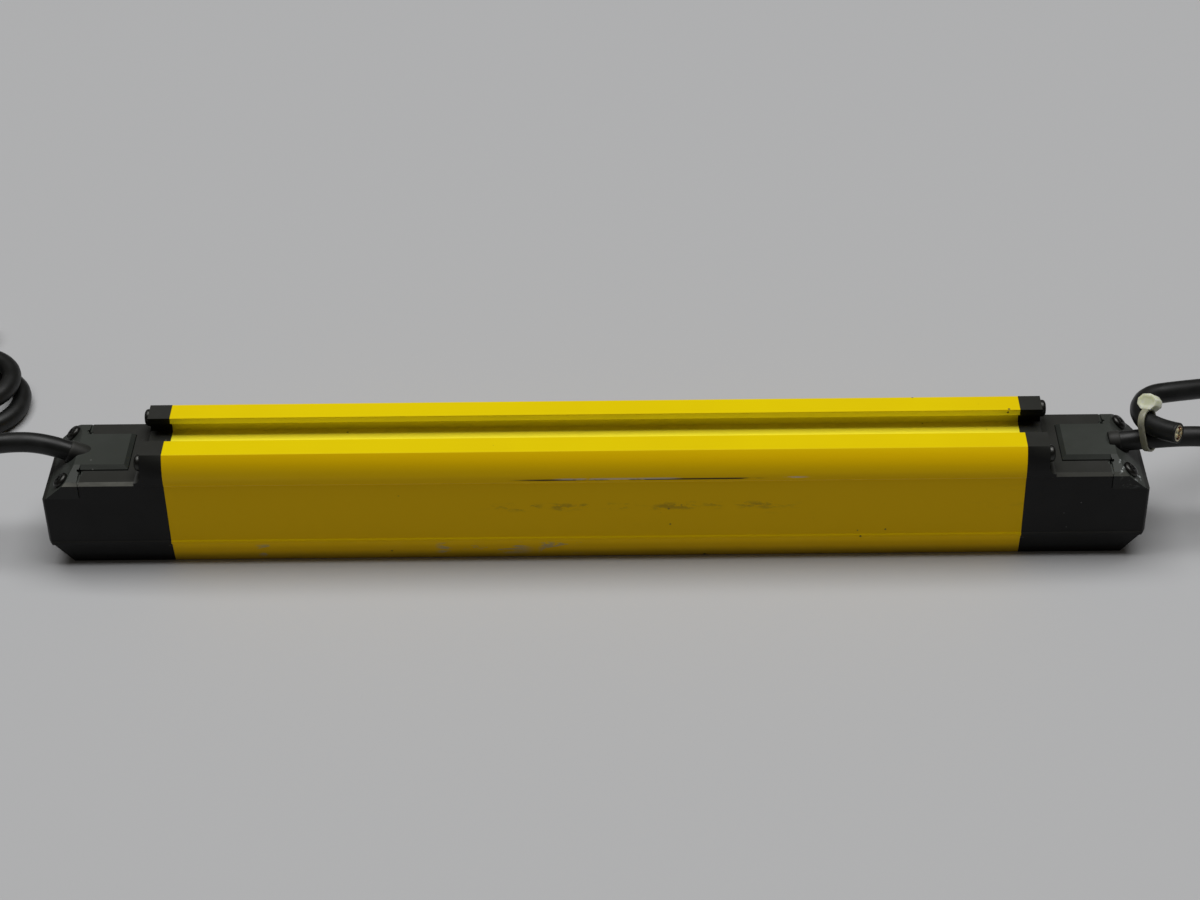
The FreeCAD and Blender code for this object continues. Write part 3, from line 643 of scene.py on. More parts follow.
FINISHES: dict[Slot, Finish] = {
    Slot.PAINT: HousingPaint(),
    Slot.CAP: MouldedBlack(),
    Slot.SCREW: MetalFinish("blackened_steel", (0.055, 0.055, 0.052), 0.38),
    Slot.JACKET: CableJacket(),
    Slot.WINDOW: ClearFinish("tinted_window", (0.42, 0.035, 0.03), 0.05),
    Slot.LENS: ClearFinish("clear_optics", (0.88, 0.90, 0.92), 0.06, 0.9),
    Slot.BOARD: DullFinish("solder_resist", (0.012, 0.13, 0.045), (0.02, 0.17, 0.06), 0.35),
    Slot.SEAL: DullFinish("seal_rubber", (0.012, 0.012, 0.012), (0.022, 0.022, 0.022), 0.7),
    Slot.TIE: NylonFinish(),
    Slot.METAL: MetalFinish("plated_contacts", (0.70, 0.62, 0.44), 0.3),
    Slot.HOLDER: DullFinish("holder_black", (0.014, 0.014, 0.014), (0.024, 0.024, 0.024), 0.6),
    Slot.CHIP: DullFinish("component_black", (0.02, 0.02, 0.022), (0.032, 0.032, 0.034), 0.5),
}
BLOCK_FINISH = MouldedBlack(
    # the second colour is the upward faces' lighter tone of dust and painted sheen
    "moulded_grey", (0.010, 0.011, 0.010), (0.035, 0.039, 0.034), (0.048, 0.053, 0.048), 0.42
)


@functools.cache
def made(finish: Finish) -> bpy.types.Material:
    """Material of a finish, made once."""
    return finish.make()


def paint(piece: Piece, finish: Finish) -> None:
    """Give a piece one finish all over."""
    piece.data.materials.clear()
    piece.data.materials.append(made(finish))


def node(name: str) -> Piece:
    """CAD node by its name."""
    return frame["nodes"][name]


# ---------------------------------------------------------------- modelling bench


class Bench:
    """Short calls for modelling one piece by hand, from a primitive to a finished mesh."""

    def __init__(self, name: str) -> None:
        """Clear the selection.

        Args:
            name: name of the piece.
        """
        bpy.ops.object.select_all(action="DESELECT")
        self.name = name
        self.piece: Piece | None = None

    def take(self) -> None:
        """Keep the primitive just added, with its place in its mesh."""
        self.piece = bpy.context.active_object
        self.piece.name = self.name
        bpy.ops.object.transform_apply(location=True, rotation=True, scale=True)

    def block(self, size: Point, place: Point) -> None:
        """Add a block.

        Args:
            size: lengths along the three axes.
            place: its middle.
        """
        bpy.ops.mesh.primitive_cube_add(size=1.0, location=place, scale=size)
        self.take()

    @classmethod
    def lathed(cls, name: str, rings: Rings, sides: int) -> "Bench":
        """Start a piece of rings turned about Z, given in millimetres."""
        bench = cls(name)
        bench.turned([mm(*ring) for ring in rings], sides)
        return bench

    def turned(self, profile: Rings, sides: int) -> None:
        """Turn a piece about Z: a cone frustum, extended ring by ring.

        Args:
            profile: radius and height of each ring, from the bottom up.
            sides: faces round it.
        """
        (low_radius, low), (radius, height) = profile[:2]
        bpy.ops.mesh.primitive_cone_add(
            vertices=sides,
            radius1=low_radius,
            radius2=radius,
            depth=height - low,
            location=(0.0, 0.0, (height + low) / 2),
        )
        self.take()
        self.choose("FACE", lambda face: face.normal.z > 0.99)
        for next_radius, next_height in profile[2:]:
            bpy.ops.mesh.extrude_region_move(TRANSFORM_OT_translate={"value": (0.0, 0.0, next_height - height)})
            share = next_radius / radius
            bpy.ops.transform.resize(value=(share, share, 1.0), center_override=(0.0, 0.0, next_height))
            radius, height = next_radius, next_height
        bpy.ops.object.mode_set(mode="OBJECT")

    def choose(self, kind: str, wanted: Callable[[object], bool]) -> None:
        """Enter edit mode and select by a test.

        Args:
            kind: VERT, EDGE or FACE.
            wanted: test of one element.
        """
        if bpy.context.mode != "EDIT_MESH":
            bpy.ops.object.mode_set(mode="EDIT")
        bpy.ops.mesh.select_mode(type=kind)
        bpy.ops.mesh.select_all(action="DESELECT")
        mesh = bmesh.from_edit_mesh(self.piece.data)
        for element in {"VERT": mesh.verts, "EDGE": mesh.edges, "FACE": mesh.faces}[kind]:
            if wanted(element):
                element.select_set(True)
        bmesh.update_edit_mesh(self.piece.data)

    def push(self, wanted: Callable[[object], bool], offset: Point) -> None:
        """Move the vertices that pass a test."""
        self.choose("VERT", wanted)
        bpy.ops.transform.translate(value=offset)

    def sink(self, wanted: Callable[[object], bool], rim: float, depth: float, single: bool = False) -> None:
        """Inset faces and push the inner part in.

        Args:
            wanted: test of a face.
            rim: width left round it.
            depth: how far it goes in, or out where negative.
            single: treat each face on its own.
        """
        self.choose("FACE", wanted)
        bpy.ops.mesh.inset(thickness=rim, depth=-depth, use_individual=single, use_even_offset=True)

    def pick(self, *others: "Bench") -> None:
        """Leave edit mode and select the piece, as the active one, and the others."""
        if bpy.context.mode == "EDIT_MESH":
            bpy.ops.object.mode_set(mode="OBJECT")
        bpy.ops.object.select_all(action="DESELECT")
        for bench in (self, *others):
            bench.piece.select_set(True)
        bpy.context.view_layer.objects.active = self.piece

    def modify(self, kind: str, **values: object) -> None:
        """Add a modifier and apply it.

        Args:
            kind: Blender's name of the modifier.
            values: its settings.
        """
        self.pick()
        modifier = self.piece.modifiers.new(kind.lower(), kind)
        for key, value in values.items():
            setattr(modifier, key, value)
        bpy.ops.object.modifier_apply(modifier=modifier.name)

    def cut(self, tool: "Bench") -> None:
        """Take another piece's shape out of this one, and drop that piece."""
        self.modify("BOOLEAN", operation="DIFFERENCE", object=tool.piece, solver="EXACT")
        bpy.data.objects.remove(tool.piece)

    def add(self, *others: "Bench") -> None:
        """Join other pieces to this one."""
        self.pick(*others)
        bpy.ops.object.join()

    def rename(self, name: str) -> None:
        """Give the piece another name."""
        self.name = self.piece.name = name

    def soften(self, width: float, segments: int = 2, angle: float = 28.0) -> None:
        """Round the edges and smooth the faces between them.

        Args:
            width: width of the rounding.
            segments: faces across it.
            angle: smallest angle that counts as an edge, in degrees.
        """
        self.choose("FACE", lambda face: True)
        bpy.ops.mesh.normals_make_consistent(inside=False)
        self.modify("BEVEL", width=width, segments=segments, angle_limit=math.radians(angle), use_clamp_overlap=True)
        bpy.ops.object.shade_smooth_by_angle(angle=math.radians(35.0))

    def stand(self, place: Matrix) -> None:
        """Put the piece at its place, with the place in its mesh."""
        self.pick()
        self.piece.matrix_world = place
        bpy.ops.object.transform_apply(location=True, rotation=True, scale=True)

    def copied(self, name: str, place: Matrix) -> "Bench":
        """A copy with its own mesh, stood at a place.

        Args:
            name: name of the copy.
            place: its place.

        Returns:
            The copy's bench.
        """
        other = Bench(name)
        other.piece = self.piece.copy()
        other.piece.data = self.piece.data.copy()
        other.rename(name)
        bpy.context.collection.objects.link(other.piece)
        other.stand(place)
        return other

    def drop(self) -> None:
        """Delete the piece, once its copies are made."""
        bpy.data.objects.remove(self.piece)

    def ringed(self, name: str, place: Matrix, circle: Point, turns: Sequence[float]) -> "Bench":
        """Joined copies round a circle, made before the piece itself is deleted.

        Args:
            name: name of the joined copies.
            place: place of the circle's middle, with its Z along the axis.
            circle: radius, height and angle of one turn, in millimetres and radians.
            turns: how many turns each copy is from the X axis.

        Returns:
            The joined copies' bench.
        """
        radius, height, angle = circle
        spots = [mm(radius * math.cos(angle * k), radius * math.sin(angle * k), height) for k in turns]
        first, *rest = [
            self.copied(f"{name}_{k}", place @ Matrix.Translation(spot)) for k, spot in enumerate(spots)
        ]
        first.add(*rest)
        first.rename(name)
        self.drop()
        return first

    def release(self, slot: Slot, *stands_for: str, finish: Finish | None = None) -> Piece:
        """Dress the piece, attach it to the root and hide the CAD nodes that it stands for.

        Args:
            slot: slot of its finish.
            stands_for: CAD nodes that it replaces.
            finish: its finish, the slot's own if left out.

        Returns:
            The finished piece.
        """
        paint(self.piece, finish or FINISHES[slot])
        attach(self.piece, ROOT)
        if stands_for:
            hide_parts(*stands_for)
        LOG.info("%s: %d faces", self.name, len(self.piece.data.polygons))
        return self.piece


def facing(place: Point, direction: Point) -> Matrix:
    """Matrix that stands a piece at a place, with its Z along a direction.

    Args:
        place: in metres.
        direction: where its Z points.

    Returns:
        The matrix.
    """
    turn = Vector(direction).to_track_quat("Z", "X").to_matrix().to_4x4()
    return Matrix.Translation(Vector(place)) @ turn


def mm(*lengths: float) -> Point:
    """Millimetres as metres."""
    return tuple(length * MM for length in lengths)


# ---------------------------------------------------------------- screws, glands, ties, plug


@dataclass
class Screws:
    """Pan-head screws with a cross recess: two in each cap and two in each connector block."""

    head_radius: float = 2.5 * MM
    shank_radius: float = 1.25 * MM
    recess_span: float = 2.7 * MM
    recess_width: float = 0.75 * MM
    recess_depth: float = 1.0 * MM
    cap_seat: Point = (130.4, 11.0, 35.0)
    cap_shank: float = 16.0 * MM
    cap_head: float = 1.8 * MM
    block_shank: float = 9.0 * MM
    block_head: float = 1.4 * MM
    block_seat: Point = (154.0, 11.5, 28.94)
    slope_angle: float = 40.6
    crown: Rings = ((1.0, 0.45), (0.96, 0.66), (0.85, 0.83), (0.66, 0.95), (0.40, 1.0), (0.05, 1.01))

    def pattern(self, name: str, head: float, shank: float) -> Bench:
        """Model one screw standing on its seat at the origin.

        Args:
            name: name of the screw.
            head: height of its head.
            shank: length of its shank.

        Returns:
            The screw's bench.
        """
        thin, wide = self.shank_radius, self.head_radius
        rings = [(0.7 * thin, -shank), (thin, 0.6 * MM - shank), (thin, 0.0), (0.94 * wide, 0.0), (wide, 0.06 * wide)]
        rings += [(reach * wide, share * head) for reach, share in self.crown]
        screw = Bench(name)
        screw.turned(rings, 40)
        for span, width in ((self.recess_span, self.recess_width), (self.recess_width, self.recess_span)):
            arm = Bench("recess_arm")
            arm.block((span, width, 2 * self.recess_depth), (0.0, 0.0, head))
            arm.choose("VERT", lambda vert: vert.co.z < head)
            bpy.ops.transform.resize(value=(0.6, 0.6, 1.0), center_override=(0.0, 0.0, head))
            arm.pick()
            screw.cut(arm)
        screw.soften(0.06 * MM, 2, 40.0)
        return screw

    def build(self) -> None:
        """Copy the two screws to their eight places."""
        lean = math.radians(self.slope_angle)
        patterns = {
            "cap_screws": self.pattern("cap_screw", self.cap_head, self.cap_shank),
            "connector_screws": self.pattern("block_screw", self.block_head, self.block_shank),
        }
        for side in Side:
            sign = side.value
            for name, (x, y, z), way in (
                ("cap_screws", self.cap_seat, (sign, 0.0, 0.0)),
                ("connector_screws", self.block_seat, (sign * math.sin(lean), 0.0, math.cos(lean))),
            ):
                near, far = (
                    patterns[name].copied(f"{name}_pair_{side.word}_{k}", facing(mm(sign * x, place, z), way))
                    for k, place in enumerate((-y, y))
                )
                near.add(far)
                near.release(Slot.SCREW, f"{name}_{side.word}")
        for pattern in patterns.values():
            pattern.drop()


@dataclass
class CableBoots:
    """Rubber boots that close the connector blocks round the cables, long and half sunk on the left."""

    bore: float = 3.02 * MM
    left_rings: Rings = ((3.0, -6.0), (3.3, -5.0), (3.4, -2.0), (3.4, 0.2), (3.3, 0.9), (3.1, 1.2))
    right_rings: Rings = ((3.15, -3.0), (3.3, -2.0), (3.3, -0.4), (3.2, 0.1), (3.1, 0.3))
    left_place: Point = (-152.4, 0.0, 30.8)
    left_way: Point = (-0.89879, 0.0, 0.43837)
    right_place: Point = (152.4, 0.0, 30.8)
    right_way: Point = (0.99255, 0.0, 0.12187)

    def build(self) -> None:
        """Model both boots."""
        for side, rings, place, way in (
            (Side.LEFT, self.left_rings, self.left_place, self.left_way),
            (Side.RIGHT, self.right_rings, self.right_place, self.right_way),
        ):
            boot = Bench.lathed(f"cable_boot_{side.word}", rings, 56)
            boot.sink(lambda face: face.normal.z > 0.99, rings[-1][0] * MM - self.bore, 1.2 * MM)
            boot.soften(0.12 * MM, 2, 30.0)
            boot.stand(facing(mm(*place), way))
            boot.release(Slot.SEAL, f"cable_gland_{side.word}", finish=FINISHES[Slot.CAP])


@dataclass
class GapFillers:
    """Thin fillers in the gaps between caps and connector blocks, each with a round end."""

    centre_x: float = 148.7 * MM
    gap: float = 0.6 * MM
    inner: float = 8.65 * MM
    outer: float = 14.55 * MM
    floor: float = 29.8 * MM
    top: float = 30.27 * MM
    post_radius: float = 0.88 * MM
    post_floor: float = 28.92 * MM

    def build(self) -> None:
        """Model one strip and copy it to the four gaps."""
        strip = Bench("gap_filler_pattern")
        height, length = self.top - self.floor, self.outer - self.inner
        middle = (self.inner + self.outer) / 2, (self.floor + self.top) / 2
        strip.block((self.gap, length, height), (0.0, *middle))
        strip.push(lambda vert: vert.co.y > middle[0] and vert.co.z > middle[1], (0.0, -height, 0.0))
        strip.soften(0.05 * MM, 1)
        post = Bench("gap_filler_post")
        rings = [(self.post_radius, self.post_floor), (self.post_radius, self.top - 0.06 * MM)]
        post.turned([*rings, (self.post_radius - 0.06 * MM, self.top)], 24)
        post.stand(Matrix.Translation((0.0, self.inner + self.post_radius, 0.0)))
        strip.add(post)
        for side in Side:
            for turn in (0.0, math.pi):
                spot = Matrix.Translation((side.value * self.centre_x, 0.0, 0.0)) @ Matrix.Rotation(turn, 4, "Z")
                filler = strip.copied(f"gap_filler_{side.word}_{int(turn > 0.0)}", spot)
                filler.release(Slot.CAP, finish=BLOCK_FINISH)
        strip.drop()


@dataclass
class CableTie:
    """Natural nylon tie: a band round cables, pulled through a square-cornered head and cut off."""

    name: str
    node_name: str
    half_x: float
    half_y: float
    radius: float
    width: float
    thickness: float
    head: Point
    head_corner: float
    head_angle: float
    band_colour: Colour
    place: Matrix

    def band(self) -> Bench:
        """Model the closed band, flat on XY and as wide as it is high.

        Returns:
            The band's bench.
        """
        band = Bench(self.name)
        bpy.ops.mesh.primitive_circle_add(vertices=64, radius=self.radius, rotation=(0.0, 0.0, math.pi / 64))
        band.take()
        for axis, reach in ((0, self.half_x), (1, self.half_y)):
            for sign in (-1, 1):
                offset = [0.0, 0.0, 0.0]
                offset[axis] = sign * reach
                band.push(lambda vert: vert.co[axis] * sign > 0.0, tuple(offset))
        band.push(lambda vert: True, (0.0, 0.0, -self.width / 2))
        bpy.ops.mesh.select_all(action="SELECT")
        bpy.ops.mesh.extrude_region_move(TRANSFORM_OT_translate={"value": (0.0, 0.0, self.width)})
        bpy.ops.mesh.select_all(action="SELECT")
        bpy.ops.mesh.normals_make_consistent(inside=False)
        band.modify("SOLIDIFY", thickness=self.thickness, offset=1.0, use_even_offset=True)
        band.soften(0.22 * self.thickness, 2, 30.0)
        return band

    def lock(self) -> Bench:
        """Model the head on the X axis: cut corners, a sunk face and the mouth that the band runs through.

        Returns:
            The head's bench.
        """
        height, long, wide = self.head
        head = Bench(f"{self.name}_head")
        middle = self.half_x + self.radius + height / 2
        head.block((height, long, wide), (middle, 0.0, 0.0))
        head.choose("EDGE", lambda edge: abs((edge.verts[0].co - edge.verts[1].co).y) > 0.5 * long)
        bpy.ops.mesh.bevel(offset=self.head_corner, segments=1, affect="EDGES")
        head.sink(lambda face: face.normal.x > 0.99, 0.2 * wide, -0.07 * height)
        head.sink(
            lambda face: face.normal.x > 0.99 and face.calc_center_median().x > middle, 0.1 * wide, -0.03 * height
        )
        head.sink(lambda face: abs(face.normal.y) > 0.99, 0.2 * wide, 0.1 * long, True)
        head.soften(0.07 * height, 2, 20.0)
        stub = Bench(f"{self.name}_stub")
        stub.block((self.thickness, 0.3 * long, self.width), (middle - 0.25 * height, -0.6 * long, 0.0))
        stub.sink(lambda face: face.normal.y < -0.99, 0.2 * self.thickness, -0.04 * long)
        stub.soften(0.15 * self.thickness)
        head.add(stub)
        return head

    def build(self) -> list[Piece]:
        """Model the tie and put it in place.

        Returns:
            Its band and its head.
        """
        band = self.band()
        head = self.lock()
        turn = Matrix.Rotation(math.radians(self.head_angle), 4, "Z")
        shift = Matrix.Translation((self.half_x, 0.0, 0.0))
        head.stand(self.place @ shift @ turn @ shift.inverted())
        band.stand(self.place)
        thin = NylonFinish("thin_nylon", self.band_colour, tuple(1.35 * c for c in self.band_colour))
        return [band.release(Slot.TIE, self.node_name, finish=thin), head.release(Slot.TIE)]


@dataclass
class RoundPlug:
    """Round plug on the left cable's far end: grip, knurled coupling nut and contact pins."""

    place: Point = (-237.0, 97.5, 7.3)
    way: Point = (0.98058, 0.19612, 0.0)
    body_rings: Rings = (
        (3.3, -0.8), (3.7, 0.0), (4.1, 0.5), (4.1, 1.5), (3.6, 1.7), (3.6, 2.4), (4.6, 2.6), (4.6, 3.7),
        (4.0, 3.9), (4.0, 4.6), (5.2, 4.8), (5.2, 5.9), (4.7, 6.1), (4.7, 6.8), (6.2, 8.2), (6.2, 9.4),
        (6.2, 19.6), (6.2, 21.2), (5.7, 22.0), (4.3, 22.0), (4.3, 33.0), (3.8, 33.0),
    )
    flutes: tuple[float, float] = (9.4, 19.6)
    flute_sector: float = 7.5
    nut_rings: Rings = (
        (6.4, 0.0), (7.2, 0.7), (7.2, 10.6), (6.8, 10.9), (6.8, 12.4), (6.4, 13.0), (4.6, 13.0), (4.6, 1.0)
    )
    knurl: tuple[float, float] = (1.0, 10.5)
    knurl_sector: float = 5.0
    relief: float = 0.35 * MM
    nut_start: float = 22.2
    pin_start: float = 33.0
    pin_circle: float = 2.75
    pin_rings: Rings = ((0.5, -0.4), (0.5, 4.2), (0.42, 4.7), (0.2, 5.0))
    pin_count: int = 8

    def build(self) -> list[Piece]:
        """Model the three parts of the plug.

        Returns:
            Body, nut and pins.
        """
        place = facing(mm(*self.place), self.way)
        return [self.body(place), self.nut(place), self.pins(place)]

    def body(self, place: Matrix) -> Piece:
        """Model the grip with its ribbed strain relief and fluted barrel.

        Args:
            place: place of the plug.

        Returns:
            The grip.
        """
        body = Bench.lathed("round_plug_grip", self.body_rings, 48)
        body.sink(
            lambda face: self.sector(face, self.flutes, self.flute_sector) % 4 in (0, 1), 0.25 * MM, self.relief
        )
        body.sink(
            lambda face: face.normal.z > 0.99 and face.calc_center_median().z > 32.9 * MM, 0.4 * MM, 0.9 * MM
        )
        body.soften(0.12 * MM, 2, 30.0)
        body.stand(place)
        return body.release(Slot.CAP, "plug_body")

    @staticmethod
    def sector(face: object, reach: tuple[float, float], width: float) -> float:
        """Number of the sector round Z that a face lies in.

        Args:
            face: face of the lathed piece.
            reach: lowest and highest place that count, in millimetres.
            width: width of a sector in degrees.

        Returns:
            The number, or NaN beyond the reach.
        """
        middle = face.calc_center_median()
        if not reach[0] * MM < middle.z < reach[1] * MM:
            return math.nan
        return int(math.degrees(math.atan2(middle.y, middle.x)) % 360.0 / width)

    def nut(self, place: Matrix) -> Piece:
        """Model the knurled coupling nut.

        Args:
            place: place of the plug.

        Returns:
            The nut.
        """
        nut = Bench.lathed("coupling_nut", self.nut_rings, 72)
        outside = 7.0 * MM
        nut.sink(
            lambda face: face.calc_center_median().xy.length > outside
            and self.sector(face, self.knurl, self.knurl_sector) % 2 == 0,
            0.1 * MM,
            self.relief,
            True,
        )
        nut.soften(0.07 * MM, 1, 30.0)
        nut.stand(place @ Matrix.Translation((0.0, 0.0, self.nut_start * MM)))
        return nut.release(Slot.METAL, "plug_nut", finish=MetalFinish("plated_nut", (0.62, 0.62, 0.60), 0.3))

    def pins(self, place: Matrix) -> Piece:
        """Model one pin and copy it round the face.

        Args:
            place: place of the plug.

        Returns:
            The pins, joined.
        """
        pin = Bench.lathed("plug_pin", self.pin_rings, 16)
        pin.soften(0.05 * MM, 1, 30.0)
        circle = (self.pin_circle, self.pin_start, math.tau / self.pin_count)
        return pin.ringed("contact_pins", place, circle, range(self.pin_count)).release(Slot.METAL, "plug_pins")


@dataclass
class CutEnd:
    """Cut end of the right cable: jacket rim, braided screen, cores and their wires."""

    tip: Point = (167.35, -6.95, 38.7)
    way: Point = (0.7815, -0.5911, 0.2004)
    rim_rings: Rings = ((2.9, -0.8), (3.02, -0.4), (3.02, 0.25), (2.85, 0.45), (2.5, 0.45), (2.45, -0.3))
    braid_rings: Rings = ((2.44, -0.6), (2.44, 0.32), (1.95, 0.38), (1.9, -0.3))
    core_rings: Rings = ((0.66, -0.6), (0.66, 0.5), (0.4, 0.55), (0.38, 0.3))
    wire_rings: Rings = ((0.36, -0.4), (0.36, 0.7), (0.28, 0.8))
    core_count: int = 5
    core_circle: float = 1.22
    first_turn: float = 0.3

    def build(self) -> list[Piece]:
        """Model the parts of the cut end.

        Returns:
            The rim, the screen, the cores and their wires.
        """
        place = facing(mm(*self.tip), self.way)
        rim = self.ring("stub_jacket_rim", self.rim_rings, 40, place).release(Slot.JACKET)
        braid = self.ring("stub_screen", self.braid_rings, 60, place).release(Slot.METAL, "cable_right_cores")
        cream = DullFinish("core_cream", (0.70, 0.66, 0.42), (0.78, 0.75, 0.52), 0.4)
        brown = DullFinish("core_brown", (0.16, 0.045, 0.02), (0.20, 0.06, 0.03), 0.4)
        copper = MetalFinish("bare_copper", (0.55, 0.42, 0.22), 0.35)
        cores = self.round_about("stub_cores", self.core_rings, place, (0, 1, 3)).release(Slot.TIE, finish=cream)
        others = self.round_about("stub_brown_cores", self.core_rings, place, (2, 4)).release(Slot.TIE, finish=brown)
        wires = self.round_about("stub_wires", self.wire_rings, place, range(self.core_count))
        return [rim, braid, cores, others, wires.release(Slot.METAL, finish=copper)]

    def ring(self, name: str, rings: Rings, sides: int, place: Matrix) -> Bench:
        """Turn one ring of the end.

        Args:
            name: name of the ring.
            rings: its profile in millimetres.
            sides: faces round it.
            place: place of the cut.

        Returns:
            The ring's bench.
        """
        ring = Bench.lathed(name, rings, sides)
        ring.soften(0.04 * MM, 1, 30.0)
        ring.stand(place)
        return ring

    def round_about(self, name: str, rings: Rings, place: Matrix, turns: Sequence[int]) -> Bench:
        """Turn one core or wire and copy it round the middle.

        Args:
            name: name of the joined copies.
            rings: its profile in millimetres.
            place: place of the cut.
            turns: which of the places round the middle are taken.

        Returns:
            The joined copies' bench.
        """
        pattern = Bench.lathed(f"{name}_one", rings, 20)
        pattern.soften(0.03 * MM, 1, 30.0)
        circle = (self.core_circle, 0.0, math.tau / self.core_count)
        return pattern.ringed(name, place, circle, [k + self.first_turn for k in turns])


def stub_tie() -> CableTie:
    """Tie that holds the folded stub on the right cable."""
    cable = Vector((161.26, 0.05, 31.85)) * MM
    stub = Vector((159.9, 0.7, 37.6)) * MM
    normal = Vector((0.796, -0.5445, 0.2643)).normalized()
    along = (stub - cable).normalized()
    across = normal.cross(along).normalized()
    place = Matrix.Translation((cable + stub) / 2) @ Matrix((along, across, normal)).transposed().to_4x4()
    return CableTie(
        name="stub_tie",
        node_name="cable_right_tie",
        half_x=(stub - cable).length / 2,
        half_y=0.35 * MM,
        radius=3.05 * MM,
        width=1.9 * MM,
        thickness=0.75 * MM,
        head=mm(4.4, 4.7, 5.7),
        head_corner=1.35 * MM,
        head_angle=-41.0,
        band_colour=(0.24, 0.235, 0.175),
        place=place,
    )


def hank_tie() -> CableTie:
    """Tie round the waist of the put-away hank."""
    up, across = Vector((0.0, 0.0, 1.0)), Vector((0.0, 1.0, 0.0))
    turn = Matrix((up, across, up.cross(across))).transposed().to_4x4()
    return CableTie(
        name="hank_tie",
        node_name="cable_left_hank_tie",
        half_x=5.95 * MM,
        half_y=3.05 * MM,
        radius=3.1 * MM,
        width=4.0 * MM,
        thickness=1.0 * MM,
        head=mm(4.0, 5.6, 6.0),
        head_corner=0.9 * MM,
        head_angle=0.0,
        band_colour=(0.46, 0.47, 0.34),
        place=Matrix.Translation(mm(-237.3, 65.0, 10.05)) @ turn,
    )


# ---------------------------------------------------------------- cords


@dataclass
class CordRun:
    """One free cable: a smooth line through its route, as thick as its jacket."""

    name: str
    length: float
    route: Sequence[Point]
    far_end: str
    lay: str
    replaced: Sequence[str]
    carried: Sequence[Piece]
    diameter: float = 6.0 * MM

    def build(self) -> Piece:
        """Returns:
            The cable's curve.
        """
        data = bpy.data.curves.new(self.name, "CURVE")
        data.dimensions = "3D"
        spline = data.splines.new("NURBS")
        spline.points.add(len(self.route) - 1)
        for point, place in zip(spline.points, self.route):
            point.co = (*mm(*place), 1.0)
        spline.order_u = 3
        spline.use_endpoint_u = True
        spline.resolution_u = 10
        data.bevel_depth = self.diameter / 2
        data.bevel_resolution = 6
        data.use_fill_caps = True
        piece = bpy.data.objects.new(self.name, data)
        bpy.context.collection.objects.link(piece)
        paint(piece, FINISHES[Slot.JACKET])
        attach(piece, ROOT)
        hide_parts(*self.replaced)
        LOG.info("%s: %d points", self.name, len(self.route))
        return piece


@dataclass
class HankTurns:
    """Turns of the put-away cable, gathered at the waist by a tie."""

    middle_x: float = -237.3
    middle_y: float = 65.0
    waist_x: float = 7.0
    waist_y: float = 3.1
    lobe_start: float = 125.0
    lobe_step: float = 50.0

    def lobe(self, centre: tuple[float, float], radius: float, heights: Sequence[float], side: Side) -> list[Point]:
        """Control points round one end of a turn.

        Args:
            centre: middle of the loop in the plane, in millimetres.
            radius: radius of the cable's line, in millimetres.
            heights: height of each of the points, in order.
            side: end of the hank.

        Returns:
            Points in the order in which the cable passes them.
        """
        start = self.lobe_start - (0.0 if side is Side.RIGHT else 180.0)
        reach = radius / math.cos(math.radians(self.lobe_step / 2))
        points = []
        for k, z in enumerate(heights):
            angle = math.radians(start - self.lobe_step * k)
            points.append((centre[0] + reach * math.cos(angle), centre[1] + reach * math.sin(angle), z))
        return points

    def waist(self, heading: int, z: float) -> list[Point]:
        """The two points at the waist, of a strand that heads along +X or -X."""
        y = self.middle_y + heading * self.waist_y
        return [(self.middle_x - heading * self.waist_x, y, z), (self.middle_x + heading * self.waist_x, y, z)]

    def points(self) -> list[Point]:
        """All the hank's points.

        Returns:
            Points from the cable's arrival on the floor to its last loop.
        """
        route: list[Point] = [(-284.0, 75.0, 3.0), (-268.0, 81.0, 3.0), (-254.0, 74.0, 3.0)]
        route += self.waist(1, 4.0)
        route += self.lobe((-199.4, 64.2), 16.0, [3.0] * 6, Side.RIGHT)
        route += self.waist(-1, 4.0)
        route += self.lobe((-270.5, 64.5), 14.0, [3.0, 3.0, 3.0, 4.5, 8.0, 9.1], Side.LEFT)
        route += self.waist(1, 10.0)
        route += self.lobe((-200.3, 67.2), 14.0, [9.1] * 6, Side.RIGHT)
        route += self.waist(-1, 10.0)
        route += self.lobe((-271.0, 66.0), 13.4, [9.1, 9.1, 9.1, 10.6, 14.0, 15.2], Side.LEFT)
        route += self.waist(1, 16.1)
        route += self.lobe((-216.5, 65.4), 12.6, [15.2] * 6, Side.RIGHT)
        route += self.waist(-1, 16.1)
        route += [(-258.0, 52.0, 15.3), (-272.0, 50.5, 15.4), (-284.0, 59.0, 15.4), (-285.5, 72.0, 15.3)]
        return route


